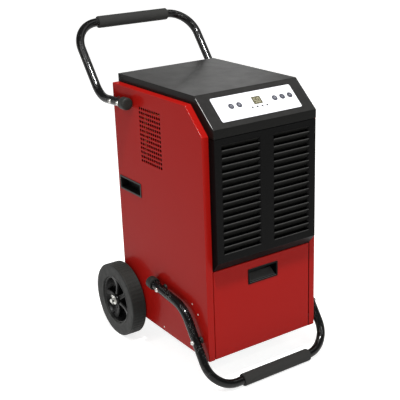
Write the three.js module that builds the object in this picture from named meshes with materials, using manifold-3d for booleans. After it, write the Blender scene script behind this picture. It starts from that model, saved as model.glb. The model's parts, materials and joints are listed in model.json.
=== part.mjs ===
// Commercial refrigerant dehumidifier on a wheeled tubular frame.
// Millimetres, +Z up, front of the cabinet facing -Y. The origin is on the floor, in the middle of
// the machine's footprint. Sub-parts are built in the cabinet's own frame (y = 0 on the front rim,
// z = 0 on the cabinet's bottom edge) and moved to the floor frame by the cabinet group.
import * as THREE from 'three';
import { mergeVertices } from 'three/addons/utils/BufferGeometryUtils.js';
import Module from 'manifold-3d';

const wasm = await Module();
wasm.setup();

// ---------------------------------------------------------------- driving dimensions
const GAP = 0.3; // clearance between pieces that touch
const SHEET = 1.2; // cabinet sheet metal
const WALL = 2.5; // moulded plastic wall
const CABINET = { halfWidth: 200, depth: 485, height: 756, rim: 21 };
const CHAMFER = { y: 80, z: 680 }; // sloping corner of the side panels, above the front
const FLOOR_CLEARANCE = 85; // floor to the cabinet's bottom edge
const BASE = { halfWidth: 198.5, front: 8, back: 482, bottom: 1.5, flangeTop: 26, post: 8, postTop: 10 };
const CRADLE = { near: 184, far: 187, front: 452, back: 481.9, low: 2, top: 56 };
const RUNNER = { near: 144, far: 156, front: 10, back: 255 };
const REAR = { halfWidth: 197, flangeHalfWidth: 178, front: 482.3, back: 483.5, low: 30, top: 743,
  flangeFront: 470, slotHeight: 8, slotPitch: 18, slotReach: 108, rib: 4, shortSlot: 40 };
const REAR_BLADE = { depth: 10, drop: 10, overhang: 5 }; // pressed inwards and down behind each slot

const COVER = { halfWidth: 178.6, top: 781, front: -26, lipBottom: 677, slopeBottom: 702, slopeTopY: 64,
  skirtBottom: 744, skirtClear: 17.4, back: 484 };
const GRILLE = { halfWidth: 178, front: -26, bottom: 284, bevelTop: 315, top: 676.5, back: 8 };
const LOUVRE = { rows: 15, pitch: 21.6, firstLip: 642.4, windowTop: 658.4, innerX: 23, outerX: 155,
  depth: 11, drop: 19.5 };
const VENT = { rows: 13, topZ: 703, rowPitch: 13.4, frontY: 212.6, backY: 331.4, slotHeight: 8 };
const GRAB = { frontY: 343.5, backY: 473.5, bottom: 417, top: 462, frame: 3.5, depth: 28 };

const LABEL = { halfWidth: 138.5, low: 18.8, high: 100.2, corner: 5, thickness: 0.5 };
const BUTTON = { radius: 8.8, height: 1.9, stem: 7, stemRadius: 4, flange: 10.6, flangeThickness: 2,
  low: 64.4 };
const BUTTON_X = { power: -85.2, mode: -58, timer: 66, humidity_down: 93, humidity_up: 120 };
const DISPLAY = { x: 5.6, low: 55.7, high: 81.3, halfWidth: 15 };
const LED = { firstX: -21.4, pitch: 17.1, low: 47.4, radius: 2.2, count: 4 };
const BOARD = { depth: 12.4, thickness: 1.6, left: -105, right: 135, low: 30, high: 90 };

const TANK = { halfWidth: 174, front: 6, back: 256, bottom: 6, top: 262, wall: 3, corner: 16 };
const TANK_FRONT = { halfWidth: 176.5, bottom: 1.5, top: 282.5, returnDepth: 4.5 };
const CUP = { halfWidth: 55, bottom: 209, top: 257, frame: 3.5, depth: 29 };
const FLOAT = { x: 128, y: 214, radius: 24, height: 20, postRadius: 4, postTop: 110 };
const SWITCH = { halfWidth: 12, low: 150, top: 190, clear: 1.2 };

const DECK = { halfWidth: 197, front: 10, back: 481, z: 287, wallY: 262, wallLow: 3.2, lip: 3 };
const FAN = { z: 500, radius: 120, ringRadius: 125, hubRadius: 36, plateY: 118, ringDepth: 30,
  runningGap: 20 };
const SHROUD = { halfWidth: 168, low: 292, top: 738 };
const COIL = { halfWidth: 160, bottom: 318, top: 662, bendRows: 5, bendReach: 16, bendRadius: 4.8 };
const EVAPORATOR = { front: 26, back: 62, tubeY: 44 };
const CONDENSER = { front: 68, back: 108, tubeY: 88 };
const FILTER = { halfWidth: 190, low: 316, top: 664, bar: 8, front: 12, back: 18 };
const TRAY = { halfWidth: 186, front: 20, back: 126, top: 313, wall: 2, spout: 6.5, spoutBore: 4.8,
  spoutLow: 270 };
const COMPRESSOR = { x: -85, y: 372, radius: 59, bottom: 14, top: 250 };
const ACCUMULATOR = { x: 10, y: 372, radius: 24, bottom: 60, top: 205 };

const TUBE = { x: 219.5, radius: 13.45, bore: 11.6 };
const TUBE_CAP = { radius: 19, length: 28, plug: 25 };
const SLEEVE_RADIUS = 19.4;
const UPPER = { endY: 364, endZ: 711.9, kneeY: 530.4, kneeZ: 704.4, gripY: 689.9, gripZ: 909.6,
  kneeRadius: 82, cornerRadius: 87, sleeveFrom: -130, sleeveTo: 130, boltY: [401, 448] };
const LOWER = { endY: 284, endZ: 164.4, kneeY: 97.2, kneeZ: 146.2, gripY: -47.5, kneeRadius: 93,
  cornerRadius: 84, sleeveFrom: -116, sleeveTo: 134, boltY: [228, 38] };
const FOOTPRINT_MIDDLE_Y = (UPPER.gripY + LOWER.gripY) / 2; // middle of the whole machine's depth
const BOLT = { hole: 4.4, shank: 3.9, head: 7.2, headHeight: 4.2, nut: 7.4, nutHeight: 6, boss: 11 };

const GLAND = { x: -150, z: 92, hole: 9, neck: 8.6, flange: 12, bore: 4.2, back: 484.9 };
const DRAIN_Y = 70;
const PIPE_HOLES = { suction: [176, 300], discharge: [-176, 340] };
const LIQUID_LINE = { x: -174, z: 332, radius: 2.6, drier: 7 };

const WHEEL = { y: 473.6, radius: 122, width: 49, inner: 203, tyreBore: 78, segments: 40 };
const HUB = { rimWall: 6, rimHalf: 20.5, bossRadius: 18, spokes: 5, spokeHalfWidth: 8,
  webFrom: -14, webTo: -10, spokeTo: 9 };
const AXLE = { radius: 7, halfLength: 267, pinX: 261 };

// ---------------------------------------------------------------- finishes
const finish = (color, roughness, metalness = 0) => ({ color, roughness, metalness });
const FINISHES = {
  red: finish(0x9c2a25, 0.38),
  cover: finish(0x2d2c2b, 0.42),
  louvre: finish(0x1c1c1a, 0.5),
  tube: finish(0x141414, 0.2, 0.2),
  foam: finish(0x333332, 0.85),
  cap: finish(0x2b2c2b, 0.6),
  rubber: finish(0x252525, 0.8),
  hub: finish(0x191919, 0.45),
  steel: finish(0xb8b8b6, 0.3, 1),
  galvanised: finish(0x9a9d9c, 0.45, 1),
  label: finish(0xf2f2ef, 0.35),
  button: finish(0x50535a, 0.5),
  display: finish(0x7d7f5c, 0.2),
  board: finish(0x1f5a35, 0.6),
  tank: finish(0xd9dcdc, 0.4),
  float: finish(0xe8e6dc, 0.6),
  filter: finish(0x3a3c3d, 0.8),
  fins: finish(0xc3c6c8, 0.4, 0.9),
  copper: finish(0xb87345, 0.35, 1),
  motor: finish(0x3c3e40, 0.5, 0.6),
  fan: finish(0x2a2c2e, 0.55),
  compressor: finish(0x17181a, 0.4, 0.2),
};

// ---------------------------------------------------------------- solids
// A closed geometry as a manifold solid. Faces that point inwards are turned round.
function toSolid(geometry) {
  const bare = geometry.clone();
  bare.deleteAttribute('normal');
  bare.deleteAttribute('uv');
  const merged = mergeVertices(bare, 1e-4);
  const vertProperties = new Float32Array(merged.attributes.position.array);
  const triVerts = new Uint32Array(merged.index.array);
  const solid = new wasm.Manifold(new wasm.Mesh({ numProp: 3, vertProperties, triVerts }));
  if (solid.volume() > 0) return solid;
  for (let i = 0; i < triVerts.length; i += 3) {
    [triVerts[i], triVerts[i + 1]] = [triVerts[i + 1], triVerts[i]];
  }
  return new wasm.Manifold(new wasm.Mesh({ numProp: 3, vertProperties, triVerts }));
}

function toGeometry(solid) {
  const mesh = solid.getMesh();
  const geometry = new THREE.BufferGeometry();
  geometry.setAttribute('position', new THREE.BufferAttribute(new Float32Array(mesh.vertProperties), 3));
  geometry.setIndex(new THREE.BufferAttribute(new Uint32Array(mesh.triVerts), 1));
  geometry.computeVertexNormals();
  return geometry;
}

const join = (...solids) => solids.flat().reduce((sum, next) => sum.add(next));
const cut = (solid, ...tools) => tools.flat().reduce((rest, tool) => rest.subtract(tool), solid);

function box(xs, ys, zs) {
  const size = [xs, ys, zs].map(([low, high]) => high - low);
  const middle = [xs, ys, zs].map(([low, high]) => (low + high) / 2);
  return toSolid(new THREE.BoxGeometry(...size).translate(...middle));
}

function outline(points, holes = []) {
  const shape = new THREE.Shape(points.map(([a, b]) => new THREE.Vector2(a, b)));
  shape.holes = holes.map((hole) => new THREE.Path(hole.map(([a, b]) => new THREE.Vector2(a, b))));
  return shape;
}

// Outlines extruded along one axis: (y, z) along X, (x, z) along Y and (x, y) along Z.
const ALONG_X = new THREE.Matrix4().set(0, 0, 1, 0, 1, 0, 0, 0, 0, 1, 0, 0, 0, 0, 0, 1);
const ALONG_Y = new THREE.Matrix4().set(1, 0, 0, 0, 0, 0, 1, 0, 0, 1, 0, 0, 0, 0, 0, 1);
const ALONG_Z = new THREE.Matrix4();

function extruded(axes, points, [from, to], holes) {
  const layer = (edge, low, high) => toSolid(
    new THREE.ExtrudeGeometry(outline(edge), { depth: high - low, bevelEnabled: false, steps: 1 })
      .translate(0, 0, low).applyMatrix4(axes),
  );
  return cut(layer(points, from, to), holes.map((hole) => layer(hole, from - 1, to + 1)));
}

const alongX = (points, range, holes = []) => extruded(ALONG_X, points, range, holes);
const alongY = (points, range, holes = []) => extruded(ALONG_Y, points, range, holes);
const alongZ = (points, range, holes = []) => extruded(ALONG_Z, points, range, holes);

function circle(radius, sides, [a, b] = [0, 0], turn = 0) {
  return Array.from({ length: sides }, (_, i) => {
    const angle = turn + (i / sides) * 2 * Math.PI;
    return [a + radius * Math.cos(angle), b + radius * Math.sin(angle)];
  });
}

function rectangle([left, right], [low, high]) {
  return [[left, low], [right, low], [right, high], [left, high]];
}

function roundedRectangle([left, right], [low, high], radius, steps = 4) {
  const corners = [[right - radius, high - radius, 0], [left + radius, high - radius, 1],
    [left + radius, low + radius, 2], [right - radius, low + radius, 3]];
  return corners.flatMap(([a, b, quarter]) => Array.from({ length: steps + 1 }, (_, i) => {
    const angle = (quarter + i / steps) * (Math.PI / 2);
    return [a + radius * Math.cos(angle), b + radius * Math.sin(angle)];
  }));
}

// A profile of [radius, height] points turned about Z, then laid along X or Y where asked.
function turned(profile, segments, along = 'z') {
  const points = profile.map(([radius, height]) => new THREE.Vector2(radius, height));
  const geometry = new THREE.LatheGeometry(points, segments);
  geometry.rotateX(Math.PI / 2);
  if (along === 'x') geometry.rotateY(Math.PI / 2);
  if (along === 'y') geometry.rotateX(-Math.PI / 2);
  return toSolid(geometry);
}

const rod = (radius, [from, to], segments, along) => turned(
  [[0, from], [radius, from], [radius, to], [0, to]], segments, along);
const ring = (outer, inner, [from, to], segments, along) => turned(
  [[inner, from], [outer, from], [outer, to], [inner, to], [inner, from]], segments, along);

// The stations of a line with rounded corners: one step along each straight run, several round
// each bend.
class BentLine extends THREE.Curve {
  constructor(corners, radii, bendSteps) {
    super();
    this.stations = [{ point: corners[0], tangent: corners[1].clone().sub(corners[0]).normalize() }];
    radii.forEach((radius, i) => this.addBend(...corners.slice(i, i + 3), radius, bendSteps));
    const [before, last] = corners.slice(-2);
    this.stations.push({ point: last, tangent: last.clone().sub(before).normalize() });
    this.steps = this.stations.length - 1;
  }

  addBend(before, corner, after, radius, bendSteps) {
    const incoming = corner.clone().sub(before).normalize();
    const outgoing = after.clone().sub(corner).normalize();
    const turn = incoming.angleTo(outgoing);
    const start = corner.clone().addScaledVector(incoming, -radius * Math.tan(turn / 2));
    const inwards = outgoing.clone().addScaledVector(incoming, -incoming.dot(outgoing)).normalize();
    const centre = start.clone().addScaledVector(inwards, radius);
    for (let i = 0; i <= bendSteps; i += 1) {
      const angle = (turn * i) / bendSteps;
      const point = centre.clone().addScaledVector(inwards, -radius * Math.cos(angle))
        .addScaledVector(incoming, radius * Math.sin(angle));
      const tangent = incoming.clone().multiplyScalar(Math.cos(angle))
        .addScaledVector(inwards, Math.sin(angle));
      this.stations.push({ point, tangent });
    }
  }

  station(t) {
    return this.stations[Math.round(t * this.steps)];
  }

  getPoint(t) {
    return this.station(t).point.clone();
  }

  getPointAt(t) {
    return this.getPoint(t);
  }

  getTangent(t) {
    return this.station(t).tangent.clone();
  }

  getTangentAt(t) {
    return this.getTangent(t);
  }
}

function bentTube(corners, radii, radius, bore = 0, sides = 12, bendSteps = 5) {
  const path = new BentLine(corners.map((corner) => new THREE.Vector3(...corner)), radii, bendSteps);
  const section = outline(circle(radius, sides), bore > 0 ? [circle(bore, 6)] : []);
  const settings = { steps: path.steps, extrudePath: path, bevelEnabled: false };
  return toSolid(new THREE.ExtrudeGeometry(section, settings));
}

// ---------------------------------------------------------------- the scene graph
const machine = new THREE.Group();
const cabinet = new THREE.Group();
cabinet.position.set(0, -FOOTPRINT_MIDDLE_Y, FLOOR_CLEARANCE);
machine.add(cabinet);

function place(name, solid, finishName, parent = cabinet) {
  const mesh = new THREE.Mesh(toGeometry(solid), new THREE.MeshStandardMaterial(FINISHES[finishName]));
  mesh.name = name;
  parent.add(mesh);
  return mesh;
}

const SIDES = { left: -1, right: 1 };
const span = (side, near, far) => (side < 0 ? [-far, -near] : [near, far]);

// ---------------------------------------------------------------- cabinet sheet metal
const SIDE_OUTLINE = [[0, 0], [CABINET.depth, 0], [CABINET.depth, CABINET.height],
  [CHAMFER.y, CABINET.height], [0, CHAMFER.z]];

function sideOutlineInside(by) {
  const slope = (CABINET.height - CHAMFER.z) / CHAMFER.y;
  const drop = by * Math.hypot(1, slope);
  const topY = CHAMFER.y + (drop - by) / slope;
  return [[by, by], [CABINET.depth - by, by], [CABINET.depth - by, CABINET.height - by],
    [topY, CABINET.height - by], [by, CHAMFER.z + slope * by - drop]];
}

const LOWER_GRIP_Z = SLEEVE_RADIUS - FLOOR_CLEARANCE;
const heightAt = (y, [fromY, fromZ], [toY, toZ]) => fromZ + ((toZ - fromZ) * (y - fromY)) / (toY - fromY);

// Bolts go through a frame's straight legs, either side of its knee.
function boltPlacesOn({ endY, endZ, kneeY, kneeZ, gripY, boltY }, gripZ) {
  return boltY.map((y) => {
    const onEndLeg = (y > kneeY) === (endY > kneeY);
    return [y, heightAt(y, [kneeY, kneeZ], onEndLeg ? [endY, endZ] : [gripY, gripZ])];
  });
}
const BOLT_PLACES = {
  upper: boltPlacesOn(UPPER, UPPER.gripZ),
  lower: boltPlacesOn(LOWER, LOWER_GRIP_Z),
};
const WHEEL_Z = WHEEL.radius - FLOOR_CLEARANCE;

function ventSlots() {
  return Array.from({ length: VENT.rows }, (_, row) => {
    const z = VENT.topZ - row * VENT.rowPitch;
    return rectangle([VENT.frontY, VENT.backY], [z - VENT.slotHeight / 2, z + VENT.slotHeight / 2]);
  });
}

function sidePanel(side) {
  const { halfWidth, rim } = CABINET;
  const boltPlaces = [...BOLT_PLACES.upper, ...BOLT_PLACES.lower];
  const grabHole = rectangle([GRAB.frontY + GRAB.frame - GAP, GRAB.backY - GRAB.frame + GAP],
    [GRAB.bottom + GRAB.frame - GAP, GRAB.top - GRAB.frame + GAP]);
  const boltHoles = boltPlaces.map((centre) => circle(BOLT.hole, 8, centre));
  const axleHole = circle(AXLE.radius + 0.6, 16, [WHEEL.y, WHEEL_Z]);
  const sheet = alongX(SIDE_OUTLINE, span(side, halfWidth - SHEET, halfWidth),
    [...ventSlots(), grabHole, ...boltHoles, axleHole]);
  const edge = alongX(SIDE_OUTLINE, span(side, halfWidth - rim, halfWidth), [sideOutlineInside(SHEET)]);
  const bossHeight = TUBE.x - TUBE.radius - halfWidth - GAP;
  const bosses = boltPlaces.map((centre) => alongX(circle(BOLT.boss, 12, centre),
    span(side, halfWidth - SHEET, halfWidth + bossHeight), [circle(BOLT.hole, 8, centre)]));
  return join(sheet, edge, bosses);
}

function basePan() {
  const { halfWidth, front, back, bottom, flangeTop, post, postTop } = BASE;
  const floor = bottom + SHEET;
  const tray = cut(
    box([-halfWidth, halfWidth], [front, back], [bottom, flangeTop]),
    box([-halfWidth + SHEET, halfWidth - SHEET], [front - 1, back - SHEET], [floor, flangeTop + 1]),
  );
  const cradles = Object.values(SIDES).map((side) => alongX(
    rectangle([CRADLE.front, CRADLE.back], [CRADLE.low, CRADLE.top]), span(side, CRADLE.near, CRADLE.far),
    [circle(AXLE.radius + GAP, 16, [WHEEL.y, WHEEL_Z])]));
  const posts = [[-52, -40], [52, -40], [0, 62]].map(([dx, dy]) => rod(post, [floor - 0.2, postTop], 12)
    .translate([COMPRESSOR.x + dx, COMPRESSOR.y + dy, 0]));
  const runners = Object.values(SIDES).map((side) => box(span(side, RUNNER.near, RUNNER.far),
    [RUNNER.front, RUNNER.back], [floor - 0.7, TANK.bottom - GAP]));
  return join(tray, cradles, posts, runners);
}

function rearPanel() {
  const { halfWidth, flangeHalfWidth, front, back, low, top, slotHeight, slotPitch, slotReach } = REAR;
  const slots = [];
  const blades = [];
  for (let rise = -slotReach; rise <= slotReach; rise += slotPitch) {
    const reach = Math.max(Math.sqrt(FAN.radius ** 2 - rise ** 2), REAR.shortSlot);
    const zs = [FAN.z + rise - slotHeight / 2, FAN.z + rise + slotHeight / 2];
    slots.push(...Object.values(SIDES)
      .map((side) => box(span(side, REAR.rib, reach), [front - 1, back + 1], zs)));
    const end = [front - REAR_BLADE.depth, zs[1] - REAR_BLADE.drop];
    const edge = reach + REAR_BLADE.overhang;
    blades.push(alongX([[front + SHEET / 2, zs[1]], [front + SHEET / 2, zs[1] + SHEET],
      [end[0], end[1] + SHEET], end], [-edge, edge]));
  }
  const glandHole = rod(GLAND.hole, [front - 1, back + 1], 16, 'y').translate([GLAND.x, 0, GLAND.z]);
  const plate = box([-halfWidth, halfWidth], [front, back], [low, top]);
  const topFlange = box([-flangeHalfWidth, flangeHalfWidth], [REAR.flangeFront, back], [top - SHEET, top]);
  return join(cut(join(plate, topFlange), ...slots, glandHole), blades);
}

function bayDivider() {
  const { halfWidth, front, back, z, wallY, wallLow, lip } = DECK;
  const xs = [-halfWidth, halfWidth];
  const pipeHoles = Object.values(PIPE_HOLES).map((centre) => circle(6, 10, centre));
  const drainHole = circle(TRAY.spout + 1, 12, [0, DRAIN_Y]);
  const deck = alongZ(rectangle(xs, [front, back]), [z, z + SHEET], [drainHole, ...pipeHoles]);
  const wall = box(xs, [wallY, wallY + SHEET], [wallLow, z + SHEET / 2]);
  const frontLip = box(xs, [front, front + SHEET], [z - lip, z + SHEET]);
  return join(deck, wall, frontLip);
}

for (const [name, side] of Object.entries(SIDES)) place(`${name}_side_panel`, sidePanel(side), 'red');
place('base_pan', basePan(), 'galvanised');
place('rear_panel', rearPanel(), 'red');
place('bay_divider', bayDivider(), 'galvanised');

// ---------------------------------------------------------------- recessed side grips
function grabCup(side) {
  const { halfWidth } = CABINET;
  const { frame, depth } = GRAB;
  const ys = [GRAB.frontY, GRAB.backY];
  const zs = [GRAB.bottom, GRAB.top];
  const inset = ([low, high], by) => [low + by, high - by];
  const flange = alongX(rectangle(ys, zs), span(side, halfWidth + GAP, halfWidth + GAP + 1.6));
  const body = alongX(rectangle(inset(ys, frame), inset(zs, frame)),
    span(side, halfWidth - depth, halfWidth + 1));
  const hollow = alongX(rectangle(inset(ys, frame + 2), inset(zs, frame + 2)),
    span(side, halfWidth - depth + 2, halfWidth + 5));
  return cut(join(flange, body), hollow);
}
for (const [name, side] of Object.entries(SIDES)) place(`${name}_grab_cup`, grabCup(side), 'cap');

// ---------------------------------------------------------------- top cover and its sloping control face
const SLOPE = Math.atan2(COVER.top - COVER.slopeBottom, COVER.slopeTopY - COVER.front);
const controlFace = new THREE.Group();
controlFace.position.set(0, COVER.front, COVER.slopeBottom);
controlFace.rotation.x = SLOPE;
cabinet.add(controlFace);
controlFace.updateMatrix();

const onControlFace = (solid) => toSolid(toGeometry(solid).applyMatrix4(controlFace.matrix));
const faceRod = (radius, [from, to], segments, [x, low]) => rod(radius, [from, to], segments)
  .translate([x, low, 0]);
const ledPlaces = Array.from({ length: LED.count }, (_, i) => [LED.firstX + i * LED.pitch, LED.low]);
const buttonPlaces = Object.fromEntries(Object.entries(BUTTON_X).map(([name, x]) => [name, [x, BUTTON.low]]));
const boardPosts = [[BOARD.left + 6, BOARD.low + 6], [BOARD.right - 6, BOARD.low + 6],
  [BOARD.left + 6, BOARD.high - 6], [BOARD.right - 6, BOARD.high - 6]];

// The cover's section from the side. The inner one runs on below the lip, to leave the cover open.
function coverProfile(inside) {
  const slope = Math.tan(SLOPE);
  const drop = inside * Math.hypot(1, slope);
  const frontY = COVER.front + inside;
  const topZ = COVER.top - inside;
  const bottom = COVER.lipBottom - (inside > 0 ? 60 : 0);
  const shoulder = COVER.slopeTopY + (drop - inside) / slope;
  const front = [[frontY, COVER.slopeBottom + slope * inside - drop], [frontY, bottom]];
  const { y, z } = CHAMFER;
  const skirtAt = (height) => y + COVER.skirtClear + (height - CABINET.height) * (y / (CABINET.height - z));
  const skirt = inside > 0 ? [[COVER.back - inside, bottom]]
    : [COVER.lipBottom, COVER.skirtBottom].map((height) => [skirtAt(height), height]);
  if (inside === 0) skirt.push([COVER.back, COVER.skirtBottom]);
  return [...front, ...skirt, [COVER.back - inside, topZ], [shoulder, topZ]];
}

function topCover() {
  const { halfWidth } = COVER;
  const shell = cut(
    alongX(coverProfile(0), [-halfWidth, halfWidth]),
    alongX(coverProfile(WALL), [-halfWidth + WALL, halfWidth - WALL]),
  );
  const posts = boardPosts.map((centre) => faceRod(3, [-BOARD.depth + GAP, -1], 6, centre));
  const buttonHoles = Object.values(buttonPlaces)
    .map((centre) => faceRod(BUTTON.radius + 0.5, [-4, 2], 16, centre));
  const ledHoles = ledPlaces.map((centre) => faceRod(LED.radius + 0.4, [-4, 2], 6, centre));
  const window = box([DISPLAY.x - DISPLAY.halfWidth - GAP, DISPLAY.x + DISPLAY.halfWidth + GAP],
    [DISPLAY.low - GAP, DISPLAY.high + GAP], [-4, 2]);
  const openings = onControlFace(join(...buttonHoles, ...ledHoles, window));
  return cut(join(shell, onControlFace(join(posts))), openings);
}

function controlLabel() {
  const holes = [
    ...Object.values(buttonPlaces).map((centre) => circle(BUTTON.radius + 0.5, 16, centre)),
    ...ledPlaces.map((centre) => circle(LED.radius + 0.4, 6, centre)),
    rectangle([DISPLAY.x - DISPLAY.halfWidth - GAP, DISPLAY.x + DISPLAY.halfWidth + GAP],
      [DISPLAY.low - GAP, DISPLAY.high + GAP]),
  ];
  const edge = roundedRectangle([-LABEL.halfWidth, LABEL.halfWidth], [LABEL.low, LABEL.high], LABEL.corner);
  return alongZ(edge, [GAP, GAP + LABEL.thickness], holes);
}

function controlBoard() {
  const sheet = alongZ(rectangle([BOARD.left, BOARD.right], [BOARD.low, BOARD.high]),
    [-BOARD.depth - BOARD.thickness, -BOARD.depth]);
  const leds = ledPlaces.map((centre) => faceRod(LED.radius, [-BOARD.depth - 0.5, 0.6], 6, centre));
  const switches = Object.values(buttonPlaces).map(([x, low]) => box([x - 3, x + 3], [low - 3, low + 3],
    [-BOARD.depth - 0.5, -8.6]));
  return join(sheet, leds, switches);
}

// The flange sits behind the cover and the narrow stem faces the board's switch.
function buttonCap() {
  const { radius, height, stem, stemRadius, flange, flangeThickness } = BUTTON;
  const flangeTop = -WALL - GAP;
  const flangeLow = flangeTop - flangeThickness;
  const foot = [[0, -stem], [stemRadius, -stem], [stemRadius, flangeLow], [flange, flangeLow]];
  const head = [[radius, flangeTop], [radius, height - 0.5], [radius - 0.6, height], [0, height]];
  return turned([...foot, [flange, flangeTop], ...head], 16);
}

place('top_cover', topCover(), 'cover');
place('control_label', controlLabel(), 'label', controlFace);
place('control_board', controlBoard(), 'board', controlFace);
place('display_module', box([DISPLAY.x - DISPLAY.halfWidth, DISPLAY.x + DISPLAY.halfWidth],
  [DISPLAY.low, DISPLAY.high], [-BOARD.depth + GAP, 0.6]), 'display', controlFace);
for (const [name, [x, low]] of Object.entries(buttonPlaces)) {
  place(`${name}_button`, buttonCap(), 'button', controlFace).position.set(x, low, 0);
}

// ---------------------------------------------------------------- inlet grille and filter
function frontGrille() {
  const { halfWidth, front, bottom, bevelTop, top, back } = GRILLE;
  const outside = [[front, bevelTop], [0, bottom], [back, bottom], [back, top], [front, top]];
  const inside = [[front + WALL, bevelTop + 1], [1, bottom + WALL], [back + 1, bottom + WALL],
    [back + 1, top - WALL], [front + WALL, top - WALL]];
  const shell = cut(alongX(outside, [-halfWidth, halfWidth]),
    alongX(inside, [-halfWidth + WALL, halfWidth - WALL]));
  const lastLip = LOUVRE.firstLip - (LOUVRE.rows - 1) * LOUVRE.pitch;
  const columns = Object.values(SIDES).map((side) => span(side, LOUVRE.innerX, LOUVRE.outerX));
  const windows = columns.map((xs) => box(xs, [front - 1, front + WALL + 1],
    [lastLip, LOUVRE.windowTop]));
  const blades = columns.flatMap(([left, right]) => Array.from({ length: LOUVRE.rows }, (_, i) => {
    const { pitch, drop, depth, windowTop } = LOUVRE;
    const windowLow = LOUVRE.firstLip - i * pitch;
    const lip = i > 0 ? windowLow + pitch : windowTop + 0.5;
    const foot = windowLow + pitch - drop;
    return alongX([[front, lip], [front + depth, foot], [front + depth + 2, foot], [front + 2, lip]],
      [left - 1, right + 1]);
  }));
  return join(cut(shell, windows), blades);
}

function airFilter() {
  const { halfWidth, low, top, bar, front, back } = FILTER;
  const windowWidth = (2 * halfWidth - 4 * bar) / 3;
  const windows = [-1, 0, 1].map((step) => {
    const middle = step * (windowWidth + bar);
    return rectangle([middle - windowWidth / 2, middle + windowWidth / 2], [low + bar, top - bar]);
  });
  const frame = alongY(rectangle([-halfWidth, halfWidth], [low, top]), [front, back], windows);
  const meshY = (front + back) / 2;
  const mesh = box([-halfWidth + 1, halfWidth - 1], [meshY - 0.4, meshY + 0.4], [low + 1, top - 1]);
  return join(frame, mesh);
}

place('front_grille', frontGrille(), 'louvre');
place('air_filter', airFilter(), 'filter');

// ---------------------------------------------------------------- refrigeration circuit and fan
function coil({ front, back, tubeY }) {
  const { halfWidth, bottom, top, bendRows, bendReach, bendRadius } = COIL;
  const fins = box([-halfWidth, halfWidth], [front, back], [bottom, top]);
  const plates = Object.values(SIDES).map((side) => box(span(side, halfWidth - 1, halfWidth + SHEET),
    [front - 1, back + 1], [bottom - 3, top + 3]));
  const pitch = (top - bottom) / bendRows;
  const root = halfWidth - 2;
  const reach = halfWidth + bendReach;
  const bends = Array.from({ length: bendRows }, (_, i) => {
    const low = bottom + pitch * (i + 0.25);
    const high = low + pitch / 2;
    return bentTube([[root, tubeY, low], [reach, tubeY, low], [reach, tubeY, high], [root, tubeY, high]],
      [8, 8], bendRadius, 0, 6, 2);
  });
  return join(fins, plates, bends);
}

function dripTray() {
  const { halfWidth, front, back, top, wall, spout, spoutBore, spoutLow } = TRAY;
  const bottom = DECK.z + SHEET + GAP;
  const tray = cut(
    box([-halfWidth, halfWidth], [front, back], [bottom, top]),
    box([-halfWidth + wall, halfWidth - wall], [front + wall, back - wall], [bottom + wall, top + 1]),
  );
  const pipe = rod(spout, [spoutLow, bottom + wall], 12).translate([0, DRAIN_Y, 0]);
  const bore = rod(spoutBore, [spoutLow - 1, bottom + wall + 2], 12).translate([0, DRAIN_Y, 0]);
  return cut(join(tray, pipe), bore);
}

function fanShroud() {
  const { ringRadius, plateY, ringDepth, z } = FAN;
  const hole = circle(ringRadius, 32, [0, z]);
  const plate = alongY(rectangle([-SHROUD.halfWidth, SHROUD.halfWidth], [SHROUD.low, SHROUD.top]),
    [plateY, plateY + SHEET], [hole]);
  const venturi = alongY(circle(ringRadius + 2, 32, [0, z]), [plateY, plateY + ringDepth], [hole]);
  const clearOfTray = box([-SHROUD.halfWidth - 1, SHROUD.halfWidth + 1], [plateY - 1, TRAY.back + 1],
    [SHROUD.low - 1, TRAY.top + 1]);
  return cut(join(plate, venturi), clearOfTray);
}

function fanImpeller() {
  const { radius, hubRadius } = FAN;
  const blades = Array.from({ length: 5 }, (_, i) => {
    const blade = alongZ(roundedRectangle([hubRadius - 4, radius - 3], [-27, 27], 12, 3), [-1.2, 1.2])
      .rotate([32, 0, 0]);
    return blade.rotate([0, 72 * i, 0]);
  });
  const hub = rod(hubRadius, [-20, 16], 24, 'y');
  return cut(join(hub, blades), rod(4.4, [-14, 20], 12, 'y'));
}

// Motor, shaft and four arms that reach forward to the shroud's plate.
function fanMotor() {
  const body = turned([[0, 46], [30, 46], [44, 54], [44, 108], [30, 118], [0, 118]], 20, 'y');
  const shaft = rod(3.9, [-12, 50], 12, 'y');
  const plateFace = SHEET + GAP - FAN.runningGap;
  const arms = Array.from({ length: 4 }, (_, i) => join(
    box([40, 140], [72, 77], [-5, 5]),
    box([133, 140], [plateFace, 77], [-5, 5]),
  ).rotate([0, 45 + 90 * i, 0]));
  return join(body, shaft, arms);
}

const fanAxis = new THREE.Group();
fanAxis.position.set(0, FAN.plateY + FAN.runningGap, FAN.z);
cabinet.add(fanAxis);

place('evaporator_coil', coil(EVAPORATOR), 'fins');
place('condenser_coil', coil(CONDENSER), 'fins');
place('drip_tray', dripTray(), 'fan');
place('fan_shroud', fanShroud(), 'galvanised');
place('fan_impeller', fanImpeller(), 'fan', fanAxis);
place('fan_motor', fanMotor(), 'motor', fanAxis);

function compressor() {
  const { radius, bottom, top } = COMPRESSOR;
  const can = turned([[0, bottom], [radius - 12, bottom], [radius, bottom + 12], [radius, top - 24],
    [radius - 8, top - 8], [24, top], [0, top]], 24);
  const feet = alongZ([[-64, -52], [64, -52], [12, 74], [-12, 74]], [BASE.postTop + GAP, bottom + 1]);
  const stub = rod(5, [top - 4, top + 6], 10);
  return join(can, feet, stub);
}

function suctionAccumulator() {
  const { radius, bottom, top } = ACCUMULATOR;
  const can = turned([[0, bottom], [10, bottom], [radius, bottom + 12], [radius, top - 12], [8, top],
    [0, top]], 20);
  const shellX = COMPRESSOR.x + COMPRESSOR.radius + GAP - ACCUMULATOR.x;
  const elbow = bentTube([[0, 0, bottom + 2], [0, 0, 34], [shellX, 0, 34]], [14], 5, 0, 8, 4);
  return join(can, elbow);
}

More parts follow.
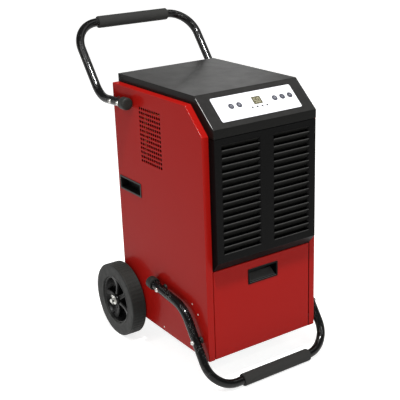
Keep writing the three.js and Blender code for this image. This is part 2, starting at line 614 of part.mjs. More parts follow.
const COIL_PORT = COIL.halfWidth + SHEET + GAP;
const SUCTION_Z = COIL.bottom + 6;
const suctionPipe = () => bentTube([
  [COIL_PORT, EVAPORATOR.tubeY, SUCTION_Z],
  [PIPE_HOLES.suction[0], EVAPORATOR.tubeY, SUCTION_Z],
  [PIPE_HOLES.suction[0], 150, SUCTION_Z],
  [...PIPE_HOLES.suction, SUCTION_Z],
  [...PIPE_HOLES.suction, 240],
  [ACCUMULATOR.x, ACCUMULATOR.y, 240],
  [ACCUMULATOR.x, ACCUMULATOR.y, ACCUMULATOR.top + GAP],
], [8, 30, 14, 20, 20], 5, 0, 8, 3);

const dischargePipe = () => bentTube([
  [COMPRESSOR.x, COMPRESSOR.y, COMPRESSOR.top + 6 + GAP],
  [COMPRESSOR.x, COMPRESSOR.y, 272],
  [...PIPE_HOLES.discharge, 272],
  [...PIPE_HOLES.discharge, 690],
  [PIPE_HOLES.discharge[0], CONDENSER.tubeY, 690],
  [PIPE_HOLES.discharge[0], CONDENSER.tubeY, COIL.top - 20],
  [-COIL_PORT, CONDENSER.tubeY, COIL.top - 20],
], [8, 12, 14, 14, 8], 4.5, 0, 8, 3);

// Condenser to evaporator, with the filter drier half way along.
function liquidLine() {
  const { x, z, radius, drier } = LIQUID_LINE;
  const line = bentTube([[-COIL_PORT, CONDENSER.tubeY, z], [x, CONDENSER.tubeY, z], [x, EVAPORATOR.tubeY, z],
    [-COIL_PORT, EVAPORATOR.tubeY, z]], [6, 6], radius, 0, 8, 3);
  const [from, to] = [EVAPORATOR.tubeY + 10, CONDENSER.tubeY - 10];
  return join(line, rod(drier, [from, to], 16, 'y').translate([x, 0, z]));
}

const compressorPlace = [COMPRESSOR.x, COMPRESSOR.y, 0];
const accumulatorPlace = [ACCUMULATOR.x, ACCUMULATOR.y, 0];
place('compressor', compressor(), 'compressor').position.set(...compressorPlace);
place('suction_accumulator', suctionAccumulator(), 'copper').position.set(...accumulatorPlace);
place('suction_pipe', suctionPipe(), 'copper');
place('discharge_pipe', dischargePipe(), 'copper');
place('liquid_line', liquidLine(), 'copper');

// ---------------------------------------------------------------- water tank drawer
const POCKET = { halfWidth: CUP.halfWidth + 3, back: CUP.depth + 4, bottom: CUP.bottom - 5 };

// Open-topped, with a pocket for the pull cup, four bosses for the front panel and the float's post.
function waterTank() {
  const { halfWidth, front, back, bottom, top, wall, corner } = TANK;
  const shell = alongZ(roundedRectangle([-halfWidth, halfWidth], [front, back], corner), [bottom, top]);
  const cavity = alongZ(roundedRectangle([-halfWidth + wall, halfWidth - wall], [front + wall, back - wall],
    corner - wall), [bottom + wall, top + 1]);
  const { halfWidth: pocketX, back: pocketY, bottom: pocketZ } = POCKET;
  const pocketSkin = box([-pocketX - wall, pocketX + wall], [front, pocketY + wall], [pocketZ - wall, top]);
  const pocket = box([-pocketX, pocketX], [front - 1, pocketY], [pocketZ, top + 1]);
  const bosses = Object.values(SIDES).flatMap((side) => [40, 250].map((z) => rod(6,
    [SHEET + GAP, front + 1], 10, 'y').translate([side * 120, 0, z])));
  const post = rod(FLOAT.postRadius, [bottom + 1, FLOAT.postTop], 12).translate([FLOAT.x, FLOAT.y, 0]);
  return join(cut(join(cut(shell, cavity), pocketSkin), pocket), bosses, post);
}

function tankFrontPanel() {
  const { halfWidth, bottom, top, returnDepth } = TANK_FRONT;
  const opening = rectangle([-CUP.halfWidth + CUP.frame - GAP, CUP.halfWidth - CUP.frame + GAP],
    [CUP.bottom + CUP.frame - GAP, CUP.top - CUP.frame + GAP]);
  const face = rectangle([-halfWidth, halfWidth], [bottom, top]);
  const inside = rectangle([-halfWidth + SHEET, halfWidth - SHEET], [bottom + SHEET, top - SHEET]);
  return join(alongY(face, [0, SHEET], [opening]), alongY(face, [0, returnDepth], [inside]));
}

function tankPullCup() {
  const { halfWidth, bottom, top, frame, depth } = CUP;
  const flange = alongY(rectangle([-halfWidth, halfWidth], [bottom, top]), [-1.5, -GAP]);
  const body = box([-halfWidth + frame, halfWidth - frame], [-1, depth], [bottom + frame, top - frame]);
  const wall = 2;
  const inner = halfWidth - frame - wall;
  const floor = bottom + frame + wall;
  const roof = top - frame - wall;
  const section = [[-5, floor], [4, floor], [depth - wall, roof - 12], [depth - wall, roof], [-5, roof]];
  const hollow = alongX(section, [-inner, inner]);
  return cut(join(flange, body), hollow);
}

const tankFloat = () => ring(FLOAT.radius, FLOAT.postRadius + 0.6,
  [TANK.bottom + TANK.wall + GAP, TANK.bottom + TANK.wall + GAP + FLOAT.height], 20)
  .translate([FLOAT.x, FLOAT.y, 0]);

place('water_tank', waterTank(), 'tank');
place('tank_front_panel', tankFrontPanel(), 'red');
place('tank_pull_cup', tankPullCup(), 'cap');
place('tank_float', tankFloat(), 'float');
place('level_switch', box([FLOAT.x - SWITCH.halfWidth, FLOAT.x + SWITCH.halfWidth],
  [TANK.back + SWITCH.clear, DECK.wallY - GAP], [SWITCH.low, SWITCH.top]), 'fan');

// ---------------------------------------------------------------- mains cord gland on the rear panel
function cordGland() {
  const { neck, flange, bore, back } = GLAND;
  const outside = REAR.back + GAP;
  const inside = REAR.front - GAP;
  const head = turned([[0, outside], [flange, outside], [flange, outside + 0.5], [flange - 2, back],
    [0, back]], 16, 'y');
  const barrel = rod(neck, [inside - 4, outside + 0.5], 16, 'y');
  const nut = rod(flange, [inside - 6, inside], 6, 'y');
  return cut(join(head, barrel, nut), rod(bore, [inside - 7, back + 1], 12, 'y'));
}
place('cord_gland', cordGland(), 'cap').position.set(GLAND.x, 0, GLAND.z);

// ---------------------------------------------------------------- carrying frames
function frameTube({ endY, endZ, kneeY, kneeZ, gripY, kneeRadius, cornerRadius }, gripZ, boltPlaces) {
  const legs = [[endY, endZ], [kneeY, kneeZ], [gripY, gripZ]];
  const leftToRight = [...legs.map(([y, z]) => [-TUBE.x, y, z]),
    ...legs.reverse().map(([y, z]) => [TUBE.x, y, z])];
  const radii = [kneeRadius, cornerRadius, cornerRadius, kneeRadius];
  const tube = bentTube(leftToRight, radii, TUBE.radius, TUBE.bore);
  const holes = Object.values(SIDES).flatMap((side) => boltPlaces.map((centre) => alongX(
    circle(BOLT.hole, 8, centre), span(side, TUBE.x - 20, TUBE.x + 20))));
  return cut(tube, holes);
}

// A closed cap over a tube's end, its rounded face at height 0.
function endCap() {
  const { radius, length, plug } = TUBE_CAP;
  const bore = TUBE.radius + 0.4;
  return turned([[0, 0], [radius - 3, 0], [radius, 3], [radius, length], [bore, length],
    [bore, length - plug], [0, length - plug]], 18);
}

// Turns a cap to point along the tube, with the tube's end just clear of the cap's inner face.
function putOnTubeEnd(cap, from, towards) {
  const direction = new THREE.Vector3(...towards).sub(new THREE.Vector3(...from)).normalize();
  cap.quaternion.setFromUnitVectors(new THREE.Vector3(0, 0, 1), direction);
  const wall = TUBE_CAP.length - TUBE_CAP.plug;
  cap.position.set(...from).addScaledVector(direction, -wall - GAP);
}

function tubeBolt(side) {
  const outer = TUBE.x + TUBE.radius + GAP;
  const inner = CABINET.halfWidth - SHEET - GAP;
  const head = turned([[0, outer], [BOLT.head, outer], [BOLT.head - 2, outer + BOLT.headHeight],
    [0, outer + BOLT.headHeight]], 10, 'x');
  const shank = rod(BOLT.shank, [inner - BOLT.nutHeight - 2, outer + 1], 8, 'x');
  const nut = rod(BOLT.nut, [inner - BOLT.nutHeight, inner], 6, 'x');
  const bolt = join(head, shank, nut);
  return side > 0 ? bolt : bolt.rotate([0, 0, 180]);
}

function carryingFrame(name, sizes, gripZ, boltPlaces) {
  place(`${name}_tube`, frameTube(sizes, gripZ, boltPlaces), 'tube');
  const sleeve = ring(SLEEVE_RADIUS, TUBE.radius + 0.35, [sizes.sleeveFrom, sizes.sleeveTo], 24, 'x');
  place(`${name}_sleeve`, sleeve, 'foam').position.set(0, sizes.gripY, gripZ);
  for (const [sideName, side] of Object.entries(SIDES)) {
    const x = side * TUBE.x;
    const cap = place(`${name}_end_cap_${sideName}`, endCap(), 'cap');
    putOnTubeEnd(cap, [x, sizes.endY, sizes.endZ], [x, sizes.kneeY, sizes.kneeZ]);
    boltPlaces.forEach(([y, z], i) => {
      place(`${name}_bolt_${sideName}_${i + 1}`, tubeBolt(side), 'steel').position.set(0, y, z);
    });
  }
}

carryingFrame('upper_handle', UPPER, UPPER.gripZ, BOLT_PLACES.upper);
carryingFrame('lower_frame', LOWER, LOWER_GRIP_Z, BOLT_PLACES.lower);

// ---------------------------------------------------------------- axle and wheels
function axle() {
  const { radius, halfLength, pinX } = AXLE;
  const bar = turned([[0, -halfLength], [radius - 1.5, -halfLength], [radius, -halfLength + 1.5],
    [radius, halfLength - 1.5], [radius - 1.5, halfLength], [0, halfLength]], 20, 'x');
  const pinHoles = Object.values(SIDES).map((side) => rod(2.1, [-20, 20], 6).translate([side * pinX, 0, 0]));
  return cut(bar, pinHoles);
}

function tyre() {
  const { radius, width, tyreBore, segments } = WHEEL;
  const half = width / 2;
  return turned([[tyreBore, -half + 3], [tyreBore + 4, -half], [radius - 12, -half], [radius - 4, -half + 3],
    [radius, -half + 10], [radius, half - 10], [radius - 4, half - 3], [radius - 12, half],
    [tyreBore + 4, half], [tyreBore, half - 3], [tyreBore, -half + 3]], segments, 'x');
}

// Five spokes stand on a web that closes the side nearer the cabinet.
function wheelHub(side) {
  const { rimWall, bossRadius, spokes, spokeHalfWidth, webFrom, webTo, spokeTo } = HUB;
  const rimOuter = WHEEL.tyreBore - 2 * GAP;
  const boss = rod(bossRadius, [-WHEEL.width / 2, WHEEL.width / 2], 20, 'x');
  const rim = ring(rimOuter, rimOuter - rimWall, [-HUB.rimHalf, HUB.rimHalf], WHEEL.segments, 'x');
  const outwards = ([from, to]) => (side > 0 ? [from, to] : [-to, -from]);
  const web = rod(rimOuter - rimWall / 2, outwards([webFrom, webTo]), WHEEL.segments, 'x');
  const ribs = Array.from({ length: spokes }, (_, i) => box(outwards([webFrom, spokeTo]),
    [-spokeHalfWidth, spokeHalfWidth], [bossRadius / 2, rimOuter - rimWall / 2])
    .rotate([(360 / spokes) * i, 0, 0]));
  return cut(join(boss, rim, web, ribs), rod(AXLE.radius + GAP, [-30, 30], 20, 'x'));
}

const splitPin = () => join(
  rod(1.7, [-14, 11], 6),
  toSolid(new THREE.TorusGeometry(4.4, 1.6, 5, 10).rotateY(Math.PI / 2).translate(0, 0, 13.5)),
);

const axleLine = new THREE.Group();
axleLine.position.set(0, WHEEL.y, WHEEL_Z);
cabinet.add(axleLine);
place('axle', axle(), 'steel', axleLine);
for (const [name, side] of Object.entries(SIDES)) {
  const wheel = new THREE.Group();
  wheel.position.x = side * (WHEEL.inner + WHEEL.width / 2);
  axleLine.add(wheel);
  place(`${name}_tyre`, tyre(), 'rubber', wheel);
  place(`${name}_wheel_hub`, wheelHub(side), 'hub', wheel);
  const washer = ring(15, AXLE.radius + 0.4, [-1, 1], 20, 'x');
  place(`${name}_axle_washer`, washer, 'steel', axleLine).position.x = side * (WHEEL.inner + WHEEL.width + 2);
  place(`${name}_split_pin`, splitPin(), 'steel', axleLine).position.x = side * AXLE.pinX;
}

export default machine;
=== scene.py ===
import json
import math

import bmesh
import bpy
from mathutils import Matrix, Vector, noise


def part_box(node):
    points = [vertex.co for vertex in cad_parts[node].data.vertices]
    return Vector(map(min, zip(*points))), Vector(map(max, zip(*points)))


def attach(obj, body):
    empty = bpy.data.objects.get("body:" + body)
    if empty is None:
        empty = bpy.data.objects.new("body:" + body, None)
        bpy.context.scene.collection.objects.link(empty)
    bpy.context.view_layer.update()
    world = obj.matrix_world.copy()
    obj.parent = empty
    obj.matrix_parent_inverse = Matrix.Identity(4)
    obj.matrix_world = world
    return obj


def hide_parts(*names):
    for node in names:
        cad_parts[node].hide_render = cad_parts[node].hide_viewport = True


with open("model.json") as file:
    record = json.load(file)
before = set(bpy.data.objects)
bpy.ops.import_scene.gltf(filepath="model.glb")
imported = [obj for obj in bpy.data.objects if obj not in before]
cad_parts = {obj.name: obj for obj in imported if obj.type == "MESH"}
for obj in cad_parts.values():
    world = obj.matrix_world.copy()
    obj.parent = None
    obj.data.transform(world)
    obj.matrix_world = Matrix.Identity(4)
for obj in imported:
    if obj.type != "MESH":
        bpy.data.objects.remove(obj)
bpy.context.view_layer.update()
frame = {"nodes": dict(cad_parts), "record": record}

SLOTS = {subpart["node"]: subpart["material_slot"] for subpart in frame["record"]["subparts"]}

# ---- frames of reference
# Shapes are drawn in millimetres. CABINET puts y = 0 on the cabinet's front edge and z = 0 on its
# bottom edge; FACE lies on the sloping control face, x across, y up the slope and z out of it.
MM = 0.001
panel_low, panel_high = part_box("left_side_panel")
CABINET = Matrix.Translation((0, panel_low.y, panel_low.z)) @ Matrix.Scale(MM, 4)
# HALF is half of the cabinet's width. COVER holds the heights and depths of the cover's outline, whose
# lower edge rises between the two depths of its rise.
HALF = 200
DEPTH = round((panel_high.y - panel_low.y) / MM)
COVER = {"half": 178.6, "top": 781, "front": -26, "lip": 677, "foot": 702, "shoulder": 64,
         "skirt": 744, "back": 484, "rise": (14.24, 84.77)}
SLOPE = math.atan2(COVER["top"] - COVER["foot"], COVER["shoulder"] - COVER["front"])
ON_SLOPE = Matrix.Translation((0, COVER["front"], COVER["foot"])) @ Matrix.Rotation(SLOPE, 4, "X")
FACE = CABINET @ ON_SLOPE
SIDES = (("left", -1), ("right", 1))


# ---- outlines
def circle(centre, radius, sides):
    a, b = centre
    turns = [2 * math.pi * i / sides for i in range(sides)]
    return [(a + radius * math.cos(t), b + radius * math.sin(t)) for t in turns]


def rounded(corners, radius, steps=4):
    """A convex outline with its corners rounded."""
    points = []
    for i, corner in enumerate(corners):
        corner = Vector(corner)
        back = (Vector(corners[i - 1]) - corner).normalized()
        ahead = (Vector(corners[(i + 1) % len(corners)]) - corner).normalized()
        half = back.angle(ahead) / 2
        centre = corner + (back + ahead).normalized() * (radius / math.sin(half))
        start, end = (corner + way * (radius / math.tan(half)) - centre for way in (back, ahead))
        sweep = math.remainder(math.atan2(end.y, end.x) - math.atan2(start.y, start.x), 2 * math.pi)
        for k in range(steps + 1):
            points.append(tuple(centre + Matrix.Rotation(sweep * k / steps, 2) @ start))
    return points


def inset(corners, by):
    """A counter-clockwise outline with every side moved inwards."""
    moved = []
    for i, corner in enumerate(corners):
        corner = Vector(corner)
        before = (corner - Vector(corners[i - 1])).normalized()
        after = (Vector(corners[(i + 1) % len(corners)]) - corner).normalized()
        left, next_left = Vector((-before.y, before.x)), Vector((-after.y, after.x))
        moved.append(tuple(corner + (left + next_left) * (by / (1 + left.dot(next_left)))))
    return moved


def rectangle(xs, ys):
    return [(xs[0], ys[0]), (xs[1], ys[0]), (xs[1], ys[1]), (xs[0], ys[1])]


def round_hole(centre, radius, sides=12):
    return lambda wider: circle(centre, radius + wider, sides)


def box_hole(xs, ys, radius):
    return lambda wider: rounded(inset(rectangle(xs, ys), -wider), radius + wider, 3)


def flat(x, y, height):
    return (x, y, height)


def along_x(y, z, x):
    """For outlines drawn as seen from the side."""
    return (x, y, z)


def from_front(x, z, deep):
    """For outlines drawn as seen from the front."""
    return (x, deep, z)


def from_side(side):
    """For outlines drawn on a side panel's outer face. Depth is measured inwards."""
    return lambda y, z, deep: (side * (HALF - deep), y, z)


def aim(point, direction):
    """Stands a shape's Z axis along a direction, at a point."""
    turn = Vector((0, 0, 1)).rotation_difference(Vector(direction)).to_matrix().to_4x4()
    return Matrix.Translation(point) @ turn


# ---- shapes
class Shape:
    """A mesh being built, in millimetres."""

    def __init__(self):
        self.bm = bmesh.new()

    def ring(self, points):
        return [self.bm.verts.new(p) for p in points]

    def strip(self, a, b):
        """Faces between two closed rings of equal length. Either may be a single point."""
        for i in range(max(len(a), len(b))):
            j = i + 1
            corners = (a[i % len(a)], a[j % len(a)], b[j % len(b)], b[i % len(b)])
            self.bm.faces.new(dict.fromkeys(corners))

    def strips(self, rings):
        """Faces from each ring of points to the next. Returns the rings' corners."""
        loops = [self.ring(points) for points in rings]
        for a, b in zip(loops, loops[1:]):
            self.strip(a, b)
        return loops

    def loft(self, rings, caps=True, joined=False):
        loops = self.strips(rings)
        if joined:
            self.strip(loops[-1], loops[0])
        elif caps:
            self.bm.faces.new(reversed(loops[0]))
            self.bm.faces.new(loops[-1])
        return self

    def lathe(self, profile, segments, place=Matrix(), joined=False):
        """Turns [radius, height] points about Z. A radius of 0 closes the end."""
        rings = []
        for radius, height in profile:
            corners = circle((0, 0), radius, segments if radius else 1)
            rings.append([place @ Vector((x, y, height)) for x, y in corners])
        return self.loft(rings, False, joined)

    def fill(self, loops):
        """Faces inside the first loop and outside the others, all in one plane."""
        edges = []
        for loop in loops:
            for i, corner in enumerate(loop):
                pair = (corner, loop[(i + 1) % len(loop)])
                edges.append(self.bm.edges.get(pair) or self.bm.edges.new(pair))
        bmesh.ops.triangle_fill(self.bm, use_beauty=True, edges=edges)

    def plate(self, outer, holes, lift, low, high):
        """A flat sheet with holes, between two heights. lift(a, b, height) gives a point."""
        sides = []
        for height in (low, high):
            loops = [self.ring([lift(a, b, height) for a, b in loop]) for loop in [outer, *holes]]
            self.fill(loops)
            sides.append(loops)
        for below, above in zip(*sides):
            self.strip(below, above)
        return self

    def folded(self, corners, holes, lift, depth, bend=2.4, corner_radius=3.0):
        """A sheet-metal panel with its edges folded back. Depth is measured in from its face."""
        sheet, burr = 1.2, 0.35

        def ring(inwards, deep):
            outline = rounded(inset(corners, inwards), max(corner_radius - inwards, 0.3))
            return [lift(a, b, deep) for a, b in outline]

        quarter = [math.pi / 2 * k / 5 for k in range(6)]
        outside = [ring(bend * (1 - math.sin(t)), bend * (1 - math.cos(t))) for t in quarter]
        inner = bend - sheet
        inside = [ring(bend - inner * math.sin(t), bend - inner * math.cos(t)) for t in quarter[::-1]]
        loops = self.strips(outside + [ring(0, depth), ring(sheet, depth)] + inside)
        steps = [(burr, 0.0), (0.0, burr), (0.0, sheet)]
        walls = [self.strips([[lift(a, b, deep) for a, b in hole(wider)] for wider, deep in steps])
                 for hole in holes]
        self.fill([loops[0]] + [wall[0] for wall in walls])
        self.fill([loops[-1]] + [wall[-1] for wall in walls])
        return self

    def prism(self, outline, lift, low, high):
        return self.loft([[lift(a, b, h) for a, b in outline] for h in (low, high)])

    def box(self, xs, ys, zs):
        return self.prism(rectangle(xs, ys), flat, *zs)

    def hull(self, points):
        verts = self.ring(points)
        bmesh.ops.convex_hull(self.bm, input=verts)
        return self

    def sweep(self, path, radius, sides=28):
        """A round bar along [point, tangent] stations."""
        across = path[0][1].orthogonal().normalized()
        rings = []
        for point, tangent in path:
            across = (across - tangent * across.dot(tangent)).normalized()
            up = tangent.cross(across)
            rings.append([point + across * a + up * b for a, b in circle((0, 0), radius, sides)])
        return self.loft(rings)

    def moved(self, place):
        bmesh.ops.transform(self.bm, matrix=place, verts=self.bm.verts)
        return self

    def add(self, other):
        mesh = bpy.data.meshes.new("part")
        other.bm.to_mesh(mesh)
        self.bm.from_mesh(mesh)
        bpy.data.meshes.remove(mesh)
        return self

    def tidy(self):
        """Joins doubled points, drops loose ones and turns every face outwards."""
        bmesh.ops.remove_doubles(self.bm, verts=self.bm.verts, dist=1e-4)
        loose = [v for v in self.bm.verts if not v.link_faces]
        bmesh.ops.delete(self.bm, geom=loose, context="VERTS")
        bmesh.ops.recalc_face_normals(self.bm, faces=self.bm.faces)
        return self


def placed(name, data):
    """A new object in the scene."""
    obj = bpy.data.objects.new(name, data)
    bpy.context.collection.objects.link(obj)
    return obj


def temporary(shape):
    """A scene object that lives only while a modifier is applied."""
    mesh = bpy.data.meshes.new("temporary")
    shape.tidy().bm.to_mesh(mesh)
    return placed("temporary", mesh)


def applied(shape, kind, *tools, **settings):
    """The shape with one modifier applied. Its temporary objects go with their meshes."""
    objects = [temporary(shape), *tools]
    modifier = objects[0].modifiers.new("m", kind)
    for key, value in settings.items():
        setattr(modifier, key, value)
    depsgraph = bpy.context.evaluated_depsgraph_get()
    mesh = bpy.data.meshes.new_from_object(objects[0].evaluated_get(depsgraph))
    result = Shape()
    result.bm.from_mesh(mesh)
    for spent in [mesh] + [obj.data for obj in objects]:
        bpy.data.meshes.remove(spent)
    return result


def carved(shape, cutter):
    """The shape with another cut out of it."""
    tool = temporary(cutter)
    return applied(shape, "BOOLEAN", tool, object=tool, operation="DIFFERENCE", solver="EXACT")


def eased(shape, width, segments=2, sharp=30):
    """The shape with every edge sharper than a number of degrees rounded."""
    return applied(shape, "BEVEL", width=width, segments=segments, limit_method="ANGLE",
                   angle_limit=math.radians(sharp))


def piece(name, shape, finish_name, body, nodes, slot, place=CABINET, sharp=38, inner=None, under="painted_inner_shade"):
    """Makes the object. Edges sharper than the limit stay crisp, the rest are smooth.
    Faces that inner(centre in mm, normal) picks get the second finish."""
    shape.tidy()
    for face in shape.bm.faces:
        face.smooth = True
    for edge in shape.bm.edges:
        if len(edge.link_faces) == 2 and edge.calc_face_angle(0) > math.radians(sharp):
            edge.smooth = False
    shape.bm.transform(place)
    mesh = bpy.data.meshes.new(name)
    shape.bm.to_mesh(mesh)
    mesh.materials.append(MATERIAL[finish_name])
    # the second finish defaults to a near-black that paints the shade inside the cabinet
    if inner:
        mesh.materials.append(MATERIAL[under])
        for polygon in mesh.polygons:
            if inner(polygon.center / MM, polygon.normal):
                polygon.material_index = 1
    obj = placed(name, mesh)
    normals = obj.modifiers.new("normals", "WEIGHTED_NORMAL")
    normals.keep_sharp = True
    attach(obj, body)
    if nodes:
        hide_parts(*nodes)


def stand_in(node, shape, finish_name, body="cabinet", place=CABINET, **look):
    """The finished piece that stands for one CAD node."""
    piece(node + "_finished", shape, finish_name, body, [node], SLOTS[node], place, **look)


def extra(name, shape, finish_name, slot, body="cabinet", place=CABINET, sharp=38):
    """A surface detail that no CAD node stands for."""
    piece(name, shape, finish_name, body, (), slot, place, sharp)


def refined(node, finish_name, body, width, segments=2):
    """The CAD node's own shape with its edges eased."""
    shape = Shape()
    shape.bm.from_mesh(frame["nodes"][node].data)
    shape.moved(Matrix.Scale(1 / MM, 4))
    bmesh.ops.remove_doubles(shape.bm, verts=shape.bm.verts, dist=1e-3)
    bmesh.ops.dissolve_limit(shape.bm, angle_limit=math.radians(0.5), verts=shape.bm.verts,
                             edges=shape.bm.edges)
    stand_in(node, eased(shape, width, segments), finish_name, body, Matrix.Scale(MM, 4))


# ---- materials
def linear(code):
    channels = [int(code[i:i + 2], 16) / 255 for i in (0, 2, 4)]
    return [c / 12.92 if c <= 0.04045 else ((c + 0.055) / 1.055) ** 2.4 for c in channels] + [1.0]


class Finish:
    """A material whose colour, roughness and relief all come from procedural nodes."""

    def __init__(self, name, code, roughness, metallic=0.0, specular=0.5, mottle=(0.08, 9), spread=0.06,
                 spread_scale=60):
        """Mottle is how far the colour strays and on what scale, and spread the same for roughness."""
        self.material = bpy.data.materials.new(name)
        self.material.use_nodes = True
        self.nodes = self.material.node_tree.nodes
        self.links = self.material.node_tree.links
        self.shader = self.nodes["Principled BSDF"]
        self.shader.inputs["Metallic"].default_value = metallic
        self.shader.inputs["Specular IOR Level"].default_value = specular
        self.place = self.node("TexCoord").outputs["Object"]
        stray, scale = mottle
        shades = [[min(c * by, 1.0) for c in linear(code)[:3]] + [1.0] for by in (1 - stray, 1 + stray)]
        self.colour = self.mix(self.noise(scale, 4), *shades)
        self.roughness = self.remap(self.noise(spread_scale, 3), roughness - spread, roughness + spread)
        self.height = None

    def node(self, kind):
        return self.nodes.new("ShaderNode" + kind)

    def texture(self, kind, output, **settings):
        """A texture in the object's own space. Settings are its inputs' values or its own options."""
        node = self.node("Tex" + kind)
        for name, value in settings.items():
            if name in node.inputs:
                node.inputs[name].default_value = value
            else:
                setattr(node, name, value)
        self.links.new(self.place, node.inputs["Vector"])
        return node.outputs[output]

    def noise(self, scale, detail=2.0, roughness=0.55):
        return self.texture("Noise", "Fac", Scale=scale, Detail=detail, Roughness=roughness)

    def voronoi(self, scale, feature="F1"):
        return self.texture("Voronoi", "Distance", Scale=scale, feature=feature)

    def wave(self, scale, axis, distortion=0.0):
        return self.texture("Wave", "Fac", Scale=scale, Distortion=distortion, bands_direction=axis)

    def remap(self, value, low, high, start=0.25, end=0.75):
        """Low where the value is at the start, high where it is at the end."""
        node = self.node("MapRange")
        for name, number in (("From Min", start), ("From Max", end), ("To Min", low), ("To Max", high)):
            node.inputs[name].default_value = number
        self.links.new(value, node.inputs["Value"])
        return node.outputs["Result"]

    def maths(self, operation, a, b):
        node = self.node("Math")
        node.operation = operation
        for socket, value in zip(node.inputs, (a, b)):
            self.links.new(value, socket)
        return node.outputs["Value"]

    def mix(self, factor, a, b):
        node = self.node("Mix")
        node.data_type = "RGBA"
        self.links.new(factor, node.inputs[0])
        for socket, value in ((node.inputs[6], a), (node.inputs[7], b)):
            if isinstance(value, list):
                socket.default_value = value
            else:
                self.links.new(value, socket)
        return node.outputs[2]

    def tint(self, factor, code):
        """Lays another colour over the first where the factor is 1."""
        self.colour = self.mix(factor, self.colour, linear(code))
        return self

    def dust_and_sheen(self, code, amount):
        """Lightens faces that look up: a film of dust, which on the cover also serves as painted sheen on its
        top.
        """
        normal = self.node("NewGeometry").outputs["Normal"]
        split = self.node("SeparateXYZ")
        self.links.new(normal, split.inputs["Vector"])
        upwards = self.remap(split.outputs["Z"], 0.0, amount, start=0.2, end=1.0)
        patchy = self.noise(scale=35, detail=5, roughness=0.7)
        return self.tint(self.maths("MULTIPLY", upwards, patchy), code)

    def relief(self, value, strength, distance):
        bump = self.node("Bump")
        bump.inputs["Strength"].default_value = strength
        bump.inputs["Distance"].default_value = distance
        self.links.new(value, bump.inputs["Height"])
        if self.height is not None:
            self.links.new(self.height, bump.inputs["Normal"])
        self.height = bump.outputs["Normal"]
        return self

    def grain(self, scale, strength, distance=0.0002, detail=2.0, roughness=0.55):
        """A relief of soft noise."""
        return self.relief(self.noise(scale, detail, roughness), strength, distance)

    def cells(self, scale, strength, distance):
        """A relief of small round cells."""
        return self.relief(self.voronoi(scale), strength, distance)

    def coat(self, weight, roughness):
        self.shader.inputs["Coat Weight"].default_value = weight
        self.shader.inputs["Coat Roughness"].default_value = roughness
        return self

    def done(self):
        self.links.new(self.colour, self.shader.inputs["Base Color"])
        self.links.new(self.roughness, self.shader.inputs["Roughness"])
        if self.height is not None:
            self.links.new(self.height, self.shader.inputs["Normal"])
        return self.material


def tube_paint():
    """Black gloss paint, uneven, with patches of pale specks painted on as highlight glints."""
    tube = Finish("tube_gloss_paint", "070707", 0.2, specular=0.05, mottle=(0.15, 30), spread=0.04)
    # pale specks in patches: painted highlight glints on the gloss
    painted_glints = tube.remap(tube.voronoi(420), 1.0, 0.0, 0.14, 0.2)
    patches = tube.remap(tube.noise(26, 3), 0.0, 1.0, 0.5, 0.6)
    tube.tint(tube.maths("MULTIPLY", painted_glints, patches), "9c9c9a")
    return tube.grain(330, 0.6, 0.0012, roughness=0.6).coat(0.3, 0.04)


def galvanised_sheet():
    zinc = Finish("galvanised_sheet", "8d9090", 0.48, 1.0, mottle=(0.0, 9), spread=0.1, spread_scale=40)
    spangle = 55
    zinc.tint(zinc.remap(zinc.voronoi(spangle), 0.0, 0.6), "6f7375")
    return zinc.cells(spangle, 0.08, 0.0004)


def display_glass():
    glass = Finish("display_glass", "4d4a38", 0.3, specular=0.08, mottle=(0.10, 90), spread=0.04)
    return glass.tint(glass.remap(glass.wave(420, "X"), 0.0, 0.12), "2c2a1c")


def circuit_board():
    board = Finish("circuit_board", "1c5a34", 0.5, mottle=(0.15, 120))
    parts = 240
    board.tint(board.remap(board.voronoi(parts, "DISTANCE_TO_EDGE"), 1.0, 0.0, 0.02, 0.06), "2f7d4d")
    return board.cells(parts, 0.3, 0.0003)


def filter_mesh():
    weave = Finish("filter_mesh", "101112", 0.8, specular=0.1, mottle=(0.2, 60))
    threads = weave.maths("MAXIMUM", weave.wave(160, "X"), weave.wave(160, "Z"))
    weave.tint(weave.remap(threads, 0.0, 0.6, 0.55, 0.8), "232526")
    return weave.relief(threads, 0.7, 0.0006)


def coil_fins():
    fins = Finish("coil_fins", "a9adb0", 0.36, metallic=0.9, mottle=(0.08, 30))
    # dark bands in the wave's troughs: painted shade for the gaps between the fins
    edges = fins.wave(170, "X", 0.2)
    fins.tint(fins.remap(edges, 0.75, 0.0, 0.1, 0.5), "303335")
    return fins.relief(edges, 0.8, 0.001)


def drawn_copper():
    copper = Finish("drawn_copper", "b4683c", 0.32, metallic=1.0, mottle=(0.2, 40), spread=0.1)
    copper.tint(copper.remap(copper.noise(12, 5, 0.7), 0.0, 0.5, 0.5, 0.8), "5a3a26")
    return copper.grain(500, 0.12, 0.0003, detail=3)


